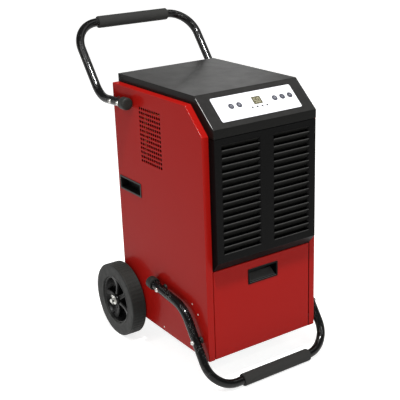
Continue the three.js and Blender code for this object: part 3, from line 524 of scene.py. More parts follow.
def finishes():
    """Every finish by its short name."""
    plastic = {"mottle": (0.1, 60), "spread": 0.05}
    print_grain = (2500, 0.05, 0.0001)
    made = {
        "red": Finish("red_powder_coat", "800e0a", 0.34, specular=0.02, mottle=(0.04, 3), spread=0.05)
        .grain(650, 0.06).coat(0.08, 0.12),
        # near-black for faces inside the cabinet: painted shade
        "painted_inner_shade": Finish("dark_primer", "101010", 0.6, specular=0.1, mottle=(0.1, 30))
        .grain(500, 0.1, detail=3),
        # the cover's up-facing faces are lightened: partly dust, partly painted sheen on the top
        "cover": Finish("cover_plastic", "090908", 0.36, specular=0.05, mottle=(0.06, 9), spread=0.03,
                        spread_scale=25)
        .dust_and_sheen("2c2b2a", 0.8).grain(1400, 0.12).coat(0.08, 0.12),
        # pale grey for lines of painted highlight along moulded edges
        "highlight_paint": Finish("polished_edge", "a9aaa8", 0.3, mottle=(0.2, 200), spread=0.08).grain(1500, 0.1),
        "louvre": Finish("louvre_plastic", "070707", 0.4, specular=0.02, spread=0.05)
        .grain(1500, 0.12).coat(0.05, 0.15),
        # a lighter copy of the louvre plastic for the blades' downward faces: painted light where they lie in
        # shade
        "blade": Finish("louvre_blade_painted_light", "121211", 0.5, specular=0.05, **plastic).grain(1500, 0.12),
        # a paler grey for the louvre lips: painted highlight
        "lip": Finish("lip_highlight_paint", "2b2b2a", 0.4, specular=0.25, mottle=(0.15, 80)).grain(1500, 0.12),
        "tube": tube_paint(),
        "foam": Finish("foam_sleeve", "262625", 0.92, specular=0.15, mottle=(0.18, 120), spread=0.04)
        .cells(1100, 0.5, 0.0004).grain(90, 0.3, 0.0006, 5, 0.7),
        "cap": Finish("cap_rubber", "181917", 0.55, specular=0.2, mottle=(0.12, 60), spread=0.08)
        .grain(900, 0.2, 0.0003, detail=3),
        "recess": Finish("recess_plastic", "121211", 0.38, specular=0.16, **plastic).grain(1100, 0.15),
        # a lighter grey for the pull cup's sloping floor: painted light
        "painted_lit_ramp": Finish("recess_ramp", "3c3c3b", 0.45, specular=0.2, **plastic).grain(1100, 0.2, 0.0003),
        "rubber": Finish("tyre_rubber", "1b1c1b", 0.5, specular=0.1, mottle=(0.15, 45), spread=0.08)
        .dust_and_sheen("4a4945", 0.4).grain(700, 0.35, 0.0004, 5, 0.7),
        "hub": Finish("hub_plastic", "0b0b0b", 0.3, specular=0.2, mottle=(0.12, 40), spread=0.08)
        .grain(800, 0.15, 0.0003),
        "steel": Finish("zinc_plated_steel", "b9b9b5", 0.3, metallic=1.0, mottle=(0.10, 160), spread=0.1)
        .grain(1200, 0.15, detail=3),
        "galvanised": galvanised_sheet(),
        "label": Finish("label_film", "c9c9cc", 0.45, specular=0.05, mottle=(0.02, 20), spread=0.05)
        .grain(1600, 0.06),
        "button": Finish("button_silicone", "3c3d44", 0.5, specular=0.12, mottle=(0.10, 220))
        .grain(1800, 0.15),
        "ink": Finish("printed_ink", "4a4b4f", 0.5, mottle=(0.08, 300)).grain(*print_grain),
        "mark": Finish("button_print", "8d8e94", 0.5, mottle=(0.08, 300)).grain(*print_grain),
        "display": display_glass(),
        "digit": Finish("display_digit", "85806a", 0.3, mottle=(0.10, 500)).grain(*print_grain),
        "lamp": Finish("indicator_lens", "0c0c0d", 0.35, specular=0.05, mottle=(0.1, 400))
        .grain(*print_grain),
        "board": circuit_board(),
        "tank": Finish("tank_plastic", "cfd4d4", 0.36, specular=0.45, mottle=(0.04, 14))
        .grain(500, 0.10, 0.0003),
        "float": Finish("float_foam", "dcd8c8", 0.65, mottle=(0.06, 150)).cells(900, 0.3, 0.0003),
        "filter": filter_mesh(),
        "fins": coil_fins(),
        "copper": drawn_copper(),
        "motor": Finish("motor_enamel", "34373a", 0.45, metallic=0.4, mottle=(0.12, 50))
        .grain(450, 0.2, 0.0004, detail=3),
        "fan": Finish("fan_plastic", "232527", 0.5, mottle=(0.1, 40))
        .dust_and_sheen("55534e", 0.35).grain(900, 0.15, 0.0003),
        "compressor": Finish("compressor_paint", "131416", 0.36, mottle=(0.15, 35))
        .grain(300, 0.2, 0.0004, detail=3),
    }
    return {key: finish.done() for key, finish in made.items()}


MATERIAL = finishes()


# ---- bent tubes
def bent_path(corners, radii, steps=14):
    """Stations of [point, tangent] along a line with rounded corners."""
    corners = [Vector(c) for c in corners]
    path = [(corners[0], (corners[1] - corners[0]).normalized())]
    for before, corner, after, radius in zip(corners, corners[1:], corners[2:], radii):
        arrive, leave = (corner - before).normalized(), (after - corner).normalized()
        turn = arrive.angle(leave)
        start = corner - arrive * (radius * math.tan(turn / 2))
        inwards = (leave - arrive * leave.dot(arrive)).normalized()
        for k in range(steps + 1):
            t = turn * k / steps
            point = start + inwards * (radius * (1 - math.cos(t))) + arrive * (radius * math.sin(t))
            path.append((point, arrive * math.cos(t) + inwards * math.sin(t)))
    path.append((corners[-1], (corners[-1] - corners[-2]).normalized()))
    return path


# Places of the frames are (y, z) of the tube's centre line. Both legs stand at TUBE_X.
TUBE_X, TUBE_R = 219.5, 13.45
SLEEVE_R = 19.4
FLOOR = -85
FRAMES = {
    "upper_handle": {"end": (364, 711.9), "knee": (530.4, 704.4), "grip": (689.9, 909.6),
                     "knee_radius": 82, "corner_radius": 87, "sleeve": (-130, 130), "bolts": (401, 448)},
    "lower_frame": {"end": (284, 164.4), "knee": (97.2, 146.2), "grip": (-47.5, FLOOR + SLEEVE_R),
                    "knee_radius": 93, "corner_radius": 84, "sleeve": (-116, 134), "bolts": (228, 38)},
}


def on_leg(sizes, y):
    """Height of a frame's leg at a given depth."""
    knee, end, grip = sizes["knee"], sizes["end"], sizes["grip"]
    other = end if (y > knee[0]) == (end[0] > knee[0]) else grip
    return knee[1] + (other[1] - knee[1]) * (y - knee[0]) / (other[0] - knee[0])


def end_cap(sizes, side):
    """A rubber cap pushed over a tube's end, with a groove round its skirt."""
    end, knee = (Vector((side * TUBE_X, *sizes[k])) for k in ("end", "knee"))
    direction = (knee - end).normalized()
    profile = [(0, 0), (11, 0), (14.5, 0.4), (17, 1.6), (18.5, 3.6), (19, 6), (19, 19), (18.5, 19.6),
               (18.5, 20.6), (19, 21.2), (19, 26.6), (18.6, 27.6), (17.8, 28), (14.6, 28), (13.9, 27.2),
               (13.9, 3.2), (0, 3.2)]
    return Shape().lathe(profile, 40, aim(end - direction * 3.3, direction))


def hexagon(place, radius, low, high):
    """A hexagonal bar along the placed Z axis."""
    return Shape().prism(circle((0, 0), radius, 6), lambda a, b, h: place @ Vector((a, b, h)), low, high)


def frame_bolt(side, y, z):
    """Pan head with a hexagon socket, over a dished washer, and a nut inside the cabinet."""
    out = aim((0, y, z), (side, 0, 0))
    head = Shape().lathe([(0, 231), (7.2, 231), (7.2, 233.6), (6.8, 234.1), (5.9, 234.2), (5.8, 235.3),
                          (5.2, 236.4), (4.1, 237.1), (3, 237.4), (0, 237.4)], 28, out)
    shape = carved(head, hexagon(out, 2.5, 235.4, 239))
    shape.lathe([(0, 190), (3.9, 190), (3.9, 232), (0, 232)], 20, out)
    return shape.add(eased(hexagon(out, 7.4, 192.5, 198.5), 0.5))


def sleeve(sizes):
    """A foam grip, very slightly uneven, with soft ends."""
    low, high = sizes["sleeve"]
    soft = [(0, 2.6), (0.6, 1.3), (1.7, 0.5), (3.2, 0.1), (5, 0)]
    bore = 13.9
    profile = [(bore, low), (bore + 0.7, low)] + [(SLEEVE_R - drop, low + step) for step, drop in soft]
    count = 40
    profile += [(SLEEVE_R, low + 5 + (high - low - 10) * k / count) for k in range(1, count)]
    profile += [(SLEEVE_R - drop, high - step) for step, drop in reversed(soft)]
    profile += [(bore + 0.7, high), (bore, high)]
    shape = Shape().lathe(profile, 48, aim((0, *sizes["grip"]), (1, 0, 0)), joined=True)
    axis = Vector((0, *sizes["grip"]))
    for vert in shape.bm.verts:
        outwards = Vector((0, vert.co.y - axis.y, vert.co.z - axis.z))
        if outwards.length > bore + 1.1:
            wobble = noise.noise(vert.co * 0.045) + 0.5 * noise.noise(vert.co * 0.16)
            vert.co -= outwards.normalized() * (0.14 + 0.22 * abs(wobble))
    return shape


def carrying_frames():
    """The push handle and the foot bar, with their sleeves, caps and bolts."""
    for name, sizes in FRAMES.items():
        ends = [sizes["end"], sizes["knee"], sizes["grip"]]
        corners = [(-TUBE_X, y, z) for y, z in ends] + [(TUBE_X, y, z) for y, z in reversed(ends)]
        radii = [sizes["knee_radius"], sizes["corner_radius"], sizes["corner_radius"], sizes["knee_radius"]]
        tube = Shape().sweep(bent_path(corners, radii), TUBE_R, 36)
        stand_in(f"{name}_tube", tube, "tube")
        stand_in(f"{name}_sleeve", sleeve(sizes), "foam", sharp=60)
        for side_name, side in SIDES:
            stand_in(f"{name}_end_cap_{side_name}", end_cap(sizes, side), "cap")
            for i, y in enumerate(sizes["bolts"]):
                stand_in(f"{name}_bolt_{side_name}_{i + 1}", frame_bolt(side, y, on_leg(sizes, y)), "steel")


# ---- cabinet
SIDE_CORNERS = [(0, 0), (DEPTH, 0), (DEPTH, 756), (80, 756), (0, 680)]
GRAB = {"ys": (343.5, 473.5), "zs": (417, 462)}
PULL = {"xs": (-55, 55), "zs": (209, 257)}
# how far a cup's frame lies over the sheet
RIM = 3.5
GRILLE = {"rows": 15, "pitch": 21.6, "first": 642.4, "drop": 19.5, "depth": 11, "wall": 2.5,
          "top": 675.6, "bend": 315, "foot": 284.2, "back": 8, "windows": ((-155, -23), (23, 155))}
WHEEL_Y, WHEEL_Z = 473.6, 37
VENT = {"rows": 13, "columns": 10, "top": 703, "pitch": 13.4, "ys": (217.5, 326.5), "radius": 5.0}
FLANGE = 21
PANEL_RIVETS = [(234, 161), (81, 159), (52, 136), (249, 15), (41, 61)]


def bolt_places():
    return [(y, on_leg(sizes, y)) for sizes in FRAMES.values() for y in sizes["bolts"]]


def vent_holes():
    """The rows of round holes in a side panel."""
    first, last = VENT["ys"]
    step = (last - first) / (VENT["columns"] - 1)
    return [round_hole((first + step * column, VENT["top"] - VENT["pitch"] * row), VENT["radius"])
            for row in range(VENT["rows"]) for column in range(VENT["columns"])]


def side_panel(side):
    """A folded panel with vents, the axle's hole, the grab cup's opening and the bolts' holes."""
    holes = vent_holes() + [round_hole((WHEEL_Y, WHEEL_Z), 7.8, 20)]
    (near, far), (low, high) = GRAB["ys"], GRAB["zs"]
    holes.append(box_hole((near + RIM, far - RIM), (low + RIM, high - RIM), 1.5))
    holes += [round_hole(place, 4.4, 12) for place in bolt_places()]
    return Shape().folded(SIDE_CORNERS, holes, from_side(side), FLANGE)


def tube_spacers(side):
    """Black collars that hold the carrying frames off the panel."""
    shape = Shape()
    spacer = [(4.4, -0.6), (10.4, -0.6), (10.4, 0.2), (9.6, 1.2), (9.3, 4.6), (8.8, 5.6), (4.4, 5.6)]
    for place in bolt_places():
        shape.lathe(spacer, 28, aim((side * HALF, *place), (side, 0, 0)), joined=True)
    return shape


def rivet(place, direction):
    """A low dome."""
    radius, height, root = 2.9, 1.2, -0.8
    dome = [(0, height), (radius * 0.45, height * 0.93), (radius * 0.8, height * 0.6), (radius, 0.15),
            (radius, root), (0, root)]
    return Shape().lathe(dome, 16, aim(place, direction))


def screw(place, direction):
    """A pan head with a cross recess."""
    radius, height, root = 3.6, 2.0, -0.8
    put = aim(place, direction)
    head = Shape().lathe([(0, height), (radius * 0.5, height * 0.96), (radius * 0.82, height * 0.72),
                          (radius, 0.4), (radius, root), (0, root)], 20, put)
    arm, half_width = radius * 0.55, 0.45
    for along, across in ((arm, half_width), (half_width, arm)):
        slot = Shape().box((-along, along), (-across, across), (height - 0.9, height + 1))
        head = carved(head, slot.moved(put))
    return head


def all_of(shapes):
    """Many shapes as one."""
    whole = Shape()
    for shape in shapes:
        whole.add(shape)
    return whole


def cup(lift, xs, ys, flange, deep, floor_from, floor_rise):
    """A moulded recess with a frame. lift(a, b, inwards) gives a point; the floor slopes up inside."""
    def ring(by, inwards, radius, rise=0.0):
        low, high = (ys[0] + by + rise, ys[1] - by)
        outline = rounded(rectangle((xs[0] + by, xs[1] - by), (low, high)), radius, 4)
        return [lift(a, b, inwards) for a, b in outline]

    rings = [ring(RIM, deep, 1.5), ring(RIM, -0.3, 1.5), ring(0, -0.3, 3), ring(0, -flange + 0.5, 3),
             ring(0.2, -flange + 0.15, 2.8), ring(0.6, -flange, 2.6), ring(4.6, -flange, 2),
             ring(5.2, -flange + 0.2, 1.8), ring(5.5, -flange + 0.8, 1.6), ring(5.5, floor_from, 1.6),
             ring(5.5, deep - 2, 1.6, floor_rise)]
    return Shape().loft(rings)


def top_cover():
    """A moulded shell, open below, cut for the buttons, lamps and display."""
    half, top, front, lip, foot, shoulder, skirt, back, (rise_from, rise_to) = COVER.values()
    outline = [(front, foot), (front, lip), (rise_from, lip), (rise_to, skirt), (back, skirt), (back, top),
               (shoulder, top)]
    shell = Shape().prism(outline, along_x, -half, half)
    wall, below = 2.5, 600
    hollow = [(front + wall, foot - 1), (front + wall, below), (back - wall, below),
              (back - wall, top - wall), (shoulder + 1, top - wall)]
    shell = carved(shell, Shape().prism(hollow, along_x, wall - half, half - wall))
    shell = eased(shell, 2.0, segments=4, sharp=25)
    tools = Shape()
    low, high = -9, 2
    round_cuts = [((x, BUTTON_LOW), BUTTON_HOLE, 32) for x in BUTTON_X.values()]
    round_cuts += [((x, LED_LOW), LED_HOLE, 12) for x in LED_X]
    for (x, y), radius, sides in round_cuts:
        drill = [(0, low), (radius, low), (radius, high), (0, high)]
        tools.lathe(drill, sides, Matrix.Translation((x, y, 0)))
    window = [(start - GAP, end + GAP) for start, end in (DISPLAY["xs"], DISPLAY["ys"])]
    tools.box(*window, (low, high))
    return carved(shell, tools.moved(ON_SLOPE))


def cheek(edge, inwards, lip, low, foot):
    """The points of the triangular wall that closes one end of a scoop."""
    front, back = COVER["front"], COVER["front"] + GRILLE["depth"]
    outer, reach = edge - inwards, edge + inwards * 7.5
    return [(outer, front + 0.3, lip - 1), (outer, front + 0.3, low + 0.2), (outer, back + 1.5, foot),
            (edge, front + 0.3, lip - 1), (edge, front + 0.3, low + 0.2), (reach, back, foot + 0.2),
            (reach, back + 1.5, foot + 0.2)]


def grille():
    """Louvred inlet: scoops pressed inwards, each starting from a thin lip on the front face."""
    front, half = COVER["front"], COVER["half"] - 1
    rows, pitch, first, drop, depth, wall, high, bend, foot, back, windows = GRILLE.values()
    outside = [(front, high), (front, bend), (0, foot), (back, foot), (back, high)]
    inside = [(front + wall, high - 2.6), (front + wall, bend + 1), (1.2, foot + 2.8), (back + 1, foot + 2.8),
              (back + 1, high - 2.6)]
    shell = carved(Shape().prism(outside, along_x, -half, half),
                   Shape().prism(inside, along_x, wall - half, half - wall))
    shell = eased(shell, 1.5, segments=3, sharp=25)
    last = first - (rows - 1) * pitch
    top, inner = first + 16.5, front + depth
    for window in windows:
        shell = carved(shell, Shape().box(window, (front - 1, front + 4), (last, top)))
    for left, right in windows:
        for i in range(rows):
            low = first - i * pitch
            lip = low + pitch if i else top
            end = low + pitch - drop
            blade = [(front + 0.1, lip - 0.9), (front + 0.25, lip - 0.35), (front + 0.8, lip),
                     (front + 1.5, lip - 0.05), (front + 2.0, lip - 0.5), (inner + 2, end + 0.4),
                     (inner + 1.7, end), (inner + 0.5, end)]
            shell.prism(blade, along_x, left - 1, right + 1)
            shell.hull(cheek(left, 1, lip, low, end))
            shell.hull(cheek(right, -1, lip, low, end))
    last_lip = [(front + 0.1, last - 3), (front + 0.1, last - 0.9), (front + 0.8, last + 0.05),
                (front + 1.6, last + 0.05), (front + 2.3, last - 0.8), (front + 2.3, last - 3)]
    for left, right in windows:
        shell.prism(last_lip, along_x, left - 1, right + 1)
    return shell


def painted_lip_highlight():
    """A paler crest along every louvre's lip: a painted highlight where the rounded lip catches the light."""
    shape = Shape()
    front = COVER["front"]
    for left, right in GRILLE["windows"]:
        left, right = left + 1, right - 1
        for i in range(GRILLE["rows"]):
            crest = GRILLE["first"] - GRILLE["pitch"] * i
            section = [(front - 0.05, crest - 2.0), (front, crest - 0.5), (front + 0.4, crest + 0.1),
                       (front + 1, crest + 0.2), (front + 1.6, crest), (front + 0.8, crest - 1.5)]
            ends = [(left, 0.2), (left + 2, 1), (right - 2, 1), (right, 0.2)]
            shape.loft([[(x, y, crest - 1 + (z - crest + 1) * size) for y, z in section] for x, size in ends])
    return shape


def painted_edge_highlight(start, end, radius):
    """A pale hairline along a moulded edge, faded out at both ends: a painted highlight where the rounded
    edge would catch the light.
    """
    steps, faded = 24, 3
    start, end, across = Vector(start), Vector(end), Vector((1, 0, 0))
    lift = (end - start).normalized().cross(across)
    rings = []
    for k in range(steps + 1):
        point = start.lerp(end, k / steps)
        fade = min(1.0, k / faded, (steps - k) / faded) * (0.75 + 0.25 * noise.noise(point * 0.11))
        size = radius * max(fade, 0.02)
        rings.append([point + (across * a + lift * b) * size for a, b in circle((0, 0), 1, 8)])
    return Shape().loft(rings)


def cover_painted_highlight(side):
    """A painted highlight along the cover's slanted corner on one side."""
    x = side * (COVER["half"] - 0.62)
    lower = (x, COVER["front"] + 0.4, COVER["foot"] - 0.4)
    upper = (x, COVER["shoulder"] - 0.6, COVER["top"] - 1.2)
    return painted_edge_highlight(lower, upper, 0.8)


REAR = {"inner": 482.3, "outer": 483.5, "xs": (-197, 197), "zs": (30, 743)}
OUTLET = {"rows": 13, "pitch": 18, "centre": 500, "radius": 120, "least": 40, "half_slot": 4, "bridge": 4}
GLAND = (-150, 92)


def rear_panel():
    """A flat sheet with a round field of slots, and a slanted blade behind each row."""
    inner, half_slot, bridge = REAR["inner"], OUTLET["half_slot"], OUTLET["bridge"]
    root = inner + 0.3
    slots, blades = [], Shape()
    for row in range(OUTLET["rows"]):
        rise = OUTLET["pitch"] * (row - OUTLET["rows"] // 2)
        reach = max(math.sqrt(OUTLET["radius"] ** 2 - rise ** 2), OUTLET["least"])
        low = OUTLET["centre"] + rise - half_slot
        top = low + 2 * half_slot
        blade = [(inner + 0.6, top), (inner + 0.6, top + 1.2), (inner, top + 1.9), (inner - 0.9, top + 1.4),
                 (inner - 10, top - 8.8), (inner - 10, top - 10)]
        ends = [(-reach - 5, 0.25, 0.3), (-reach - 1, 1, 1), (reach + 1, 1, 1), (reach + 5, 0.25, 0.3)]
        blades.loft([[(x, root + (y - root) * thin, top + (z - top) * short) for y, z in blade]
                     for x, thin, short in ends])
        for xs in ((-reach, -bridge), (bridge, reach)):
            slots.append(rounded(rectangle(xs, (low, top)), 3.9, 5))
    slots.append(circle(GLAND, 9, 24))
    shape = Shape().plate(rectangle(REAR["xs"], REAR["zs"]), slots, from_front, inner, REAR["outer"])
    return shape.box((-178, 178), (470, 483.4), (741.8, REAR["zs"][1])).add(blades)


def cord_gland():
    """A flanged bush through the rear panel, held by a nut inside."""
    put = aim((GLAND[0], 0, GLAND[1]), (0, 1, 0))
    shape = Shape().lathe([(4.2, 477), (8.6, 477), (8.6, 483.9), (12, 483.9), (12, 484.4), (11.2, 485),
                           (8.4, 485.2), (7.6, 486.2), (5.6, 486.6), (4.5, 486.4), (4.2, 485.8)],
                          36, put, joined=True)
    return shape.add(eased(hexagon(put, 12, 477.5, 481.5), 0.6))


def tank_front():
    """The folded panel on the tank, open for the pull cup."""
    left, right, low, high = *PULL["xs"], *PULL["zs"]
    overlap = 3.2
    hole = box_hole((left + overlap, right - overlap), (low + overlap, high - overlap), 1.5)
    panel = rectangle((-176.5, 176.5), (1.5, 282.5))
    return Shape().folded(panel, [hole], from_front, 4.5, bend=1.9, corner_radius=2.0)


def cabinet_side(name, side):
    """One side panel with its grab cup, rivets and spacers."""
    # inner faces take the near-black: painted shade for the dark inside of the cabinet
    def inside(centre, normal):
        return abs(centre.x) > HALF - 2 and normal.x * side < -0.9

    stand_in(f"{name}_side_panel", side_panel(side), "red", sharp=50, inner=inside)
    recess = cup(from_side(side), GRAB["ys"], GRAB["zs"], flange=1.9, deep=28, floor_from=4, floor_rise=0)
    stand_in(f"{name}_grab_cup", recess, "recess")
    rivets = [rivet((side * HALF, *place), (side, 0, 0)) for place in PANEL_RIVETS]
    extra(f"{name}_panel_rivets", all_of(rivets), "steel", "steel")
    extra(f"{name}_tube_spacers", tube_spacers(side), "cap", "cap")


def cabinet():
    """Panels, grille and tank front, and the inner pieces that show when the tank is out."""
    for name, side in SIDES:
        cabinet_side(name, side)
    # the rear panel's inner face takes the same near-black painted shade
    stand_in("rear_panel", rear_panel(), "red", inner=lambda centre, normal: normal.y < -0.5)
    screws = [screw((x, DEPTH, z), (0, 1, 0)) for x in (-189.5, 189.5) for z in range(60, 721, 165)]
    extra("rear_screws", all_of(screws), "steel", "steel")
    stand_in("cord_gland", cord_gland(), "cap")
    # downward-facing blade faces above the bevel take the lighter grey: painted light
    stand_in("front_grille", grille(), "louvre", sharp=34, under="blade",
             inner=lambda centre, normal: normal.y < -0.5 and normal.z < -0.3 and centre.z > 415)
    # paler beads on the lip crests: painted highlight
    extra("grille_lip_wear", painted_lip_highlight(), "lip", "louvre", sharp=60)
    # pale beads along the cover's slanted corners: painted highlight
    extra("cover_edge_wear", all_of(cover_painted_highlight(side) for name, side in SIDES), "highlight_paint", "cover", sharp=60)
    stand_in("tank_front_panel", tank_front(), "red", "tank", sharp=50)
    # the ramp's up-facing faces take the lighter grey: painted light
    pull = cup(from_front, PULL["xs"], PULL["zs"], flange=1.5, deep=29, floor_from=4, floor_rise=16)
    stand_in("tank_pull_cup", pull, "louvre", "tank", under="painted_lit_ramp",
             inner=lambda centre, normal: normal.z > 0.3 and normal.y < -0.3 and abs(normal.x) < 0.3)
    refined("water_tank", "tank", "tank", 1.2)
    refined("tank_float", "float", "float", 1.5, 3)
    refined("base_pan", "galvanised", "cabinet", 0.5)
    refined("bay_divider", "galvanised", "cabinet", 0.4)
    refined("fan_impeller", "fan", "fan", 0.7)


# ---- control face
BUTTON_X = {"power": -85.2, "mode": -58, "timer": 66, "humidity_down": 93, "humidity_up": 120}
BUTTON_LOW, BUTTON_HOLE = 64.4, 9.3
LED_X = [-21.4 + 17.1 * i for i in range(4)]
LED_LOW, LED_HOLE = 47.4, 2.6
DISPLAY = {"xs": (-9.4, 20.6), "ys": (55.7, 81.3)}
GAP = 0.3
LABEL = rectangle((-138.5, 138.5), (18.8, 100.2))


def bar(start, end, width):
    """Outline of a straight stroke."""
    a, b = Vector(start), Vector(end)
    side = (b - a).normalized().orthogonal() * (width / 2)
    return [tuple(p) for p in (a - side, b - side, b + side, a + side)]


def stamped(outlines, low, high):
    shape = Shape()
    for outline in outlines:
        shape.prism(outline, flat, low, high)
    return shape


def arc(centre, radius, start, end, width, steps=14):
    """Outline pieces of a curved stroke."""
    angles = [math.radians(start + (end - start) * k / steps) for k in range(steps + 1)]
    points = [(centre[0] + radius * math.cos(t), centre[1] + radius * math.sin(t)) for t in angles]
    return [bar(a, b, width) for a, b in zip(points, points[1:])]


def peak(half, foot, top, width):
    """Two strokes that meet in the middle."""
    return [bar((side * half, foot), (0, top), width) for side in (-1, 1)]


def symbols(s, width):
    """Generic marks of a half size s, drawn about the origin."""
    return {
        "power": arc((0, 0), s, 120, 420, width) + [bar((0, 0.25 * s), (0, 1.25 * s), width)],
        "mode": [bar((-s, k * 0.7 * s), (s, k * 0.7 * s), width) for k in (-1, 0, 1)],
        "timer": arc((0, 0), s, 0, 360, width, 20) + [bar((0, 0), (0, 0.7 * s), width),
                                                      bar((0, 0), (0.5 * s, 0), width)],
        "humidity_down": peak(s, 0.45 * s, -0.5 * s, width),
        "humidity_up": peak(s, -0.45 * s, 0.5 * s, width),
        "drop": arc((0, -0.3 * s), 0.75 * s, 150, 390, width) + peak(0.65 * s, 0.07 * s, 1.2 * s, width),
        "star": [bar((s * math.cos(t), s * math.sin(t)), (-s * math.cos(t), -s * math.sin(t)), width)
                 for t in (0, math.pi / 3, 2 * math.pi / 3)],
    }


def shifted(outlines, x, y):
    return [[(a + x, b + y) for a, b in outline] for outline in outlines]


SEGMENTS = {"a": ((0, 2), (1, 2)), "b": ((1, 1), (1, 2)), "c": ((1, 0), (1, 1)), "d": ((0, 0), (1, 0)),
            "e": ((0, 0), (0, 1)), "f": ((0, 1), (0, 2)), "g": ((0, 1), (1, 1))}
DIGITS = {"5": "afgcd", "0": "abcdef"}


def digits(text, left, low, width, height, stroke):
    """Seven-segment figures, leaning slightly."""
    outlines = []
    for i, figure in enumerate(text):
        for name in DIGITS[figure]:
            ends = []
            for u, v in SEGMENTS[name]:
                y = low + v * height / 2
                ends.append(Vector((left + i * width * 1.7 + u * width + (y - low) * 0.08, y)))
            along = (ends[1] - ends[0]).normalized()
            a, b = ends[0] + along * stroke * 0.2, ends[1] - along * stroke * 0.2
            side = along.orthogonal() * (stroke / 2)
            tip = along * (stroke / 2)
            outlines.append([tuple(p) for p in (a, a + tip - side, b - tip - side, b, b - tip + side,
                                                a + tip + side)])
    return outlines


def control_label():
    """A film with openings for the keys, the lamps and the display."""
    holes = [circle((x, BUTTON_LOW), BUTTON_HOLE, 32) for x in BUTTON_X.values()]
    holes += [circle((x, LED_LOW), LED_HOLE, 12) for x in LED_X]
    holes.append(rounded(inset(rectangle(DISPLAY["xs"], DISPLAY["ys"]), -GAP), 0.5, 2))
    label = Shape().plate(rounded(LABEL, 5, 6), holes, flat, 0.1, 0.8)
    stand_in("control_label", label, "label", place=FACE)


def label_print():
    """Generic marks below the keys and the lamps, rings round the lamps and a thin border."""
    small = symbols(2.4, 0.7)
    marks = [o for key, x in BUTTON_X.items() for o in shifted(small[key], x, 49.5)]
    for key, x in zip(("drop", "star", "timer", "mode"), LED_X):
        marks += shifted(small[key], x, 40.5)
        marks += arc((x, LED_LOW), 3.1, 0, 360, 0.9, 16)
    marks += shifted(symbols(5.5, 0.8)["drop"], -118, 80) + shifted(symbols(3.2, 0.6)["drop"], -110, 77)
    border = rounded(inset(LABEL, 2.5), 3.4, 5)
    marks += [bar(a, b, 0.35) for a, b in zip(border, border[1:] + border[:1])]
    extra("label_print", stamped(marks, 0.7, 0.86), "ink", "label", place=FACE)


def keys():
    """Domed keys with a flange below the label, each with its symbol."""
    cap = [(0, -7), (4, -7), (4, -4.8), (10.6, -4.8), (10.6, -2.8), (8.6, -2.8), (8.6, 0.9), (8.35, 1.35),
           (7.8, 1.6), (7.1, 1.55), (6.7, 1.3), (6.2, 1.25), (4.2, 1.6), (2.1, 1.82), (0, 1.9)]
    icons = symbols(2.9, 0.75)
    for key, x in BUTTON_X.items():
        put = FACE @ Matrix.Translation((x, BUTTON_LOW, 0))
        stand_in(f"{key}_button", Shape().lathe(cap, 40), "button", f"{key}_key", put)
        extra(f"{key}_mark", stamped(icons[key], 1.3, 1.93), "mark", "button", f"{key}_key", put)


def display():
    """The display's window with its figures, and the row of lamps below it."""
    xs, ys = DISPLAY["xs"], DISPLAY["ys"]
    window = eased(Shape().box(xs, ys, (-12.1, 0.6)), 0.4)
    stand_in("display_module", window, "display", place=FACE)
    figures = digits("50", xs[0] + 5.6, ys[0] + 5, width=6.6, height=15.5, stroke=2.0)
    extra("display_figures", stamped(figures, 0.5, 0.66), "digit", "display", place=FACE)
    dome = [(0, 1.2), (1.2, 1.05), (2.1, 0.6), (2.4, 0), (2.4, -1), (0, -1)]
    lights = [Shape().lathe(dome, 16, Matrix.Translation((x, LED_LOW, 0))) for x in LED_X]
    extra("indicator_lights", all_of(lights), "lamp", "board", place=FACE)


def control_face():
    stand_in("top_cover", top_cover(), "cover", sharp=34)
    control_label()
    label_print()
    keys()
    display()


# ---- wheels
# Every few sectors the tread's crest sinks by the notch.
TREAD = {"sectors": 180, "notch_every": 3, "notch": 1.2, "crest": 121.3, "half": 19.5}


def tyre_profile():
    """The section from one bore edge over the tread to the other, with four grooves a side."""
    half = [(78, 21), (79, 23), (81.5, 24.3), (84, 24.5), (86.5, 23.8), (89, 23.8), (106, 24.4), (112, 24.5),
            (118.6, 24.3), (120.4, 23.7), (121.4, 22.6), (121.8, 21)]
    for centre in (17.4, 13, 8.6, 4.3):
        half += [(121.75, centre + 1.5), (121.8, centre + 0.75), (120.9, centre + 0.5), (120.9, centre - 0.5),
                 (121.85, centre - 0.75)]
    half += [(122, 0.75), (121, 0.5)]
    return half + [(r, -x) for r, x in reversed(half)]


def tyre():
    """The turned section, notched across the tread."""
    shape = Shape().lathe(tyre_profile(), TREAD["sectors"], joined=True)
    for vertex in shape.bm.verts:
        x, y, z = vertex.co
        radius = math.hypot(x, y)
        sector = round(math.degrees(math.atan2(y, x)) * TREAD["sectors"] / 360)
        if radius > TREAD["crest"] and abs(z) < TREAD["half"] and sector % TREAD["notch_every"] == 0:
            vertex.co.xy *= 1 - TREAD["notch"] / radius
    return shape


def wheel_hub(put):
    """A moulded dish with five waisted spokes."""
    dish = [(7.4, 23.5), (8.2, 24.5), (12.5, 24.5), (15, 23.5), (16.4, 21.5), (17.2, 17), (18.4, 2),
            (20.5, -6), (25, -9.4), (32, -10), (55, -10), (60, -8.6), (64.5, -4), (68, 2), (71.5, 10),
            (73.6, 16), (74.6, 18.6), (75.6, 20), (76.8, 20.4), (77.5, 19.8), (77.5, -19.8), (76.6, -20.5),
            (73.4, -20.5), (71.6, -18.6), (70, -14), (30, -14), (20, -15), (18, -18), (17, -23.5),
            (15.6, -24.5), (8.2, -24.5), (7.4, -23.5)]
    hub = Shape().lathe(dish, 80, put, joined=True)
    stations = ((11, 9.5, 16.5, 4), (18, 8.2, 15.4, 5), (28, 7.2, 11.5, 5), (42, 7.4, 8.2, 5),
                (56, 8.6, 8.4, 5), (66, 10.4, 11.5, 5), (73.5, 12.5, 15.5, 5))
    spokes = 5
    for k in range(spokes):
        turned = put @ Matrix.Rotation(math.radians(360 * k / spokes), 4, "Z")
        rings = []
        for radius, half_width, top, corner in stations:
            outline = rounded(rectangle((-half_width, half_width), (-12, top)), corner, 5)
            rings.append([turned @ Vector((a, radius, b)) for a, b in outline])
        hub.loft(rings)
    return hub


